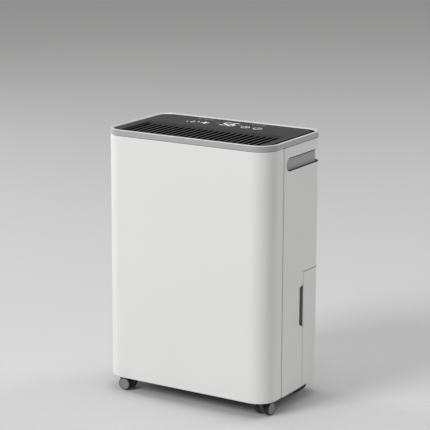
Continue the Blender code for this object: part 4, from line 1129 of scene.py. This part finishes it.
def caster_wheel(side):
    """One wheel with a groove between hub and tyre, on its side of the web."""
    outer, inner = WHEEL_OUTER, WHEEL_INNER
    profile = [(0, outer - 0.5), (3.0, outer - 0.5), (3.4, outer - 0.35), (10.3, outer - 0.15),
               (10.6, outer - 0.3), (10.75, outer - 0.55), (10.9, outer - 0.55),
               (11.1, outer - 0.25), (11.4, outer - 0.35), (12.0, outer - 1.0),
               (12.38, outer - 1.9), (WHEEL_RADIUS, outer - 3.0), (WHEEL_RADIUS, inner + 1.6),
               (12.3, inner + 0.8), (11.8, inner + 0.25), (11.2, inner), (2.3, inner),
               (2.3, outer - 3.0), (0, outer - 3.0)]
    wheel = turned(profile, axis="Y", steps=56)
    place = Matrix.Translation((AXLE[0], 0, AXLE[1]))
    if side < 0:
        place = place @ Matrix.Rotation(math.pi, 4, "Z")
    bmesh.ops.transform(wheel, matrix=place, verts=wheel.verts)
    for face in wheel.faces:
        spot = face.calc_center_median()
        in_hub = math.hypot(spot.x - AXLE[0], spot.z - AXLE[1]) < HUB_RADIUS
        face.material_index = 1 if in_hub else 0
    return wheel


def build_caster(name, x, y, turn):
    place = Matrix.Translation((x, y, 0)) @ Matrix.Rotation(math.radians(turn), 4, "Z")

    def put(bm):
        bmesh.ops.transform(bm, matrix=place, verts=bm.verts)
        return bm

    show(f"{name}_fork_body", put(caster_fork()), f"{name}_caster",
         [f"{name}_fork"], materials=("fork",))
    for word, side in (("a", 1), ("b", -1)):
        show(f"{name}_wheel_{word}_tyre", put(caster_wheel(side)), f"{name}_wheels",
             [f"{name}_wheel_{word}"], materials=("tyre", "hub"))


# ---- kept CAD nodes

KEPT = {
    "base": ["base_pan"],
    # the bulkhead's near-black is painted shade in the grip pockets
    "pocket": ["bulkhead"],
    "inner": ["drip_tray", "control_box", "fan_housing", "fan_inlet_ring",
              "fan_wheel", "drain_spout"],
    "board": ["display_board", "tank_sensor", "main_board"],
    "float": ["humidity_sensor", "tank_float"],
    "compressor": ["compressor", "accumulator"],
    "rubber": ["compressor_grommet_1", "compressor_grommet_2", "compressor_grommet_3"],
    "aluminium": ["run_capacitor", "condenser"],
    "copper": ["suction_pipe", "discharge_pipe", "capillary_tube"],
    "steel": ["fan_motor", "motor_shaft"] + [f"{name}_axle" for name in CASTERS],
}


def dress_kept_nodes():
    for key, names in KEPT.items():
        for name in names:
            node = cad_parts[name]
            for index in range(len(node.data.materials)):
                node.data.materials[index] = MATERIALS[key]


# ---- camera, floor and light

def aim(at, azimuth, elevation, roll=0.0):
    """Matrix of something at a point that looks back along an azimuth and elevation."""
    turns = ((azimuth, "Z"), (90 - elevation, "X"), (roll, "Z"))
    around, tilt, lean = (Matrix.Rotation(math.radians(angle), 4, axis) for angle, axis in turns)
    return Matrix.Translation(at) @ around @ tilt @ lean


def add_camera():
    data = bpy.data.cameras.new("camera")
    data.sensor_width = 36.0
    data.lens = CAMERA_LENS
    data.clip_start, data.clip_end = 0.1, 60.0
    camera = linked("camera", data)
    camera.matrix_world = aim(CAMERA_AT, CAMERA_AZIMUTH, CAMERA_ELEVATION, CAMERA_ROLL)
    bpy.context.scene.camera = camera


def add_area_light(name, azimuth, elevation, distance, size, power):
    data = bpy.data.lights.new(name, "AREA")
    data.shape = "RECTANGLE"
    data.size, data.size_y = size
    data.energy = power
    centre = aim((0, 0, LIT_HEIGHT), azimuth, elevation)
    linked(name, data).matrix_world = centre @ Matrix.Translation((0, 0, distance))


def add_stage():
    bm = bmesh.new()
    bmesh.ops.create_circle(bm, cap_ends=True, segments=96, radius=20.0)
    mesh = bpy.data.meshes.new("floor")
    bm.to_mesh(mesh)
    bm.free()
    shader = Shader("floor_paint")
    speckle = shader.noise(90.0, detail=5.0)
    shader.set(Base_Color=shader.blend(speckle, grey(0.66), grey(0.70)), Roughness=0.75,
               Specular_IOR_Level=0.2, Normal=shader.bump(speckle, 0.2, strength=0.1))
    mesh.materials.append(shader.material)
    floor = linked("floor", mesh)

    world = bpy.data.worlds.new("world")
    world.use_nodes = True
    background = world.node_tree.nodes["Background"]
    background.inputs["Color"].default_value = (1.0, 1.0, 0.99, 1.0)
    background.inputs["Strength"].default_value = 0.34
    bpy.context.scene.world = world
    bpy.context.scene.view_settings.view_transform = "Standard"
    for light in LIGHTS:
        add_area_light(*light)


def main():
    add_camera()
    build_front_cover()
    build_rear_cover()
    build_top_rim()
    build_top_panel()
    build_display()
    build_tank()
    build_tank_lid()
    build_intake_grille()
    build_filter()
    build_screws()
    build_rear_fittings()
    build_evaporator()
    for name, (x, y, turn) in CASTERS.items():
        build_caster(name, x, y, turn)
    dress_kept_nodes()
    add_stage()


main()
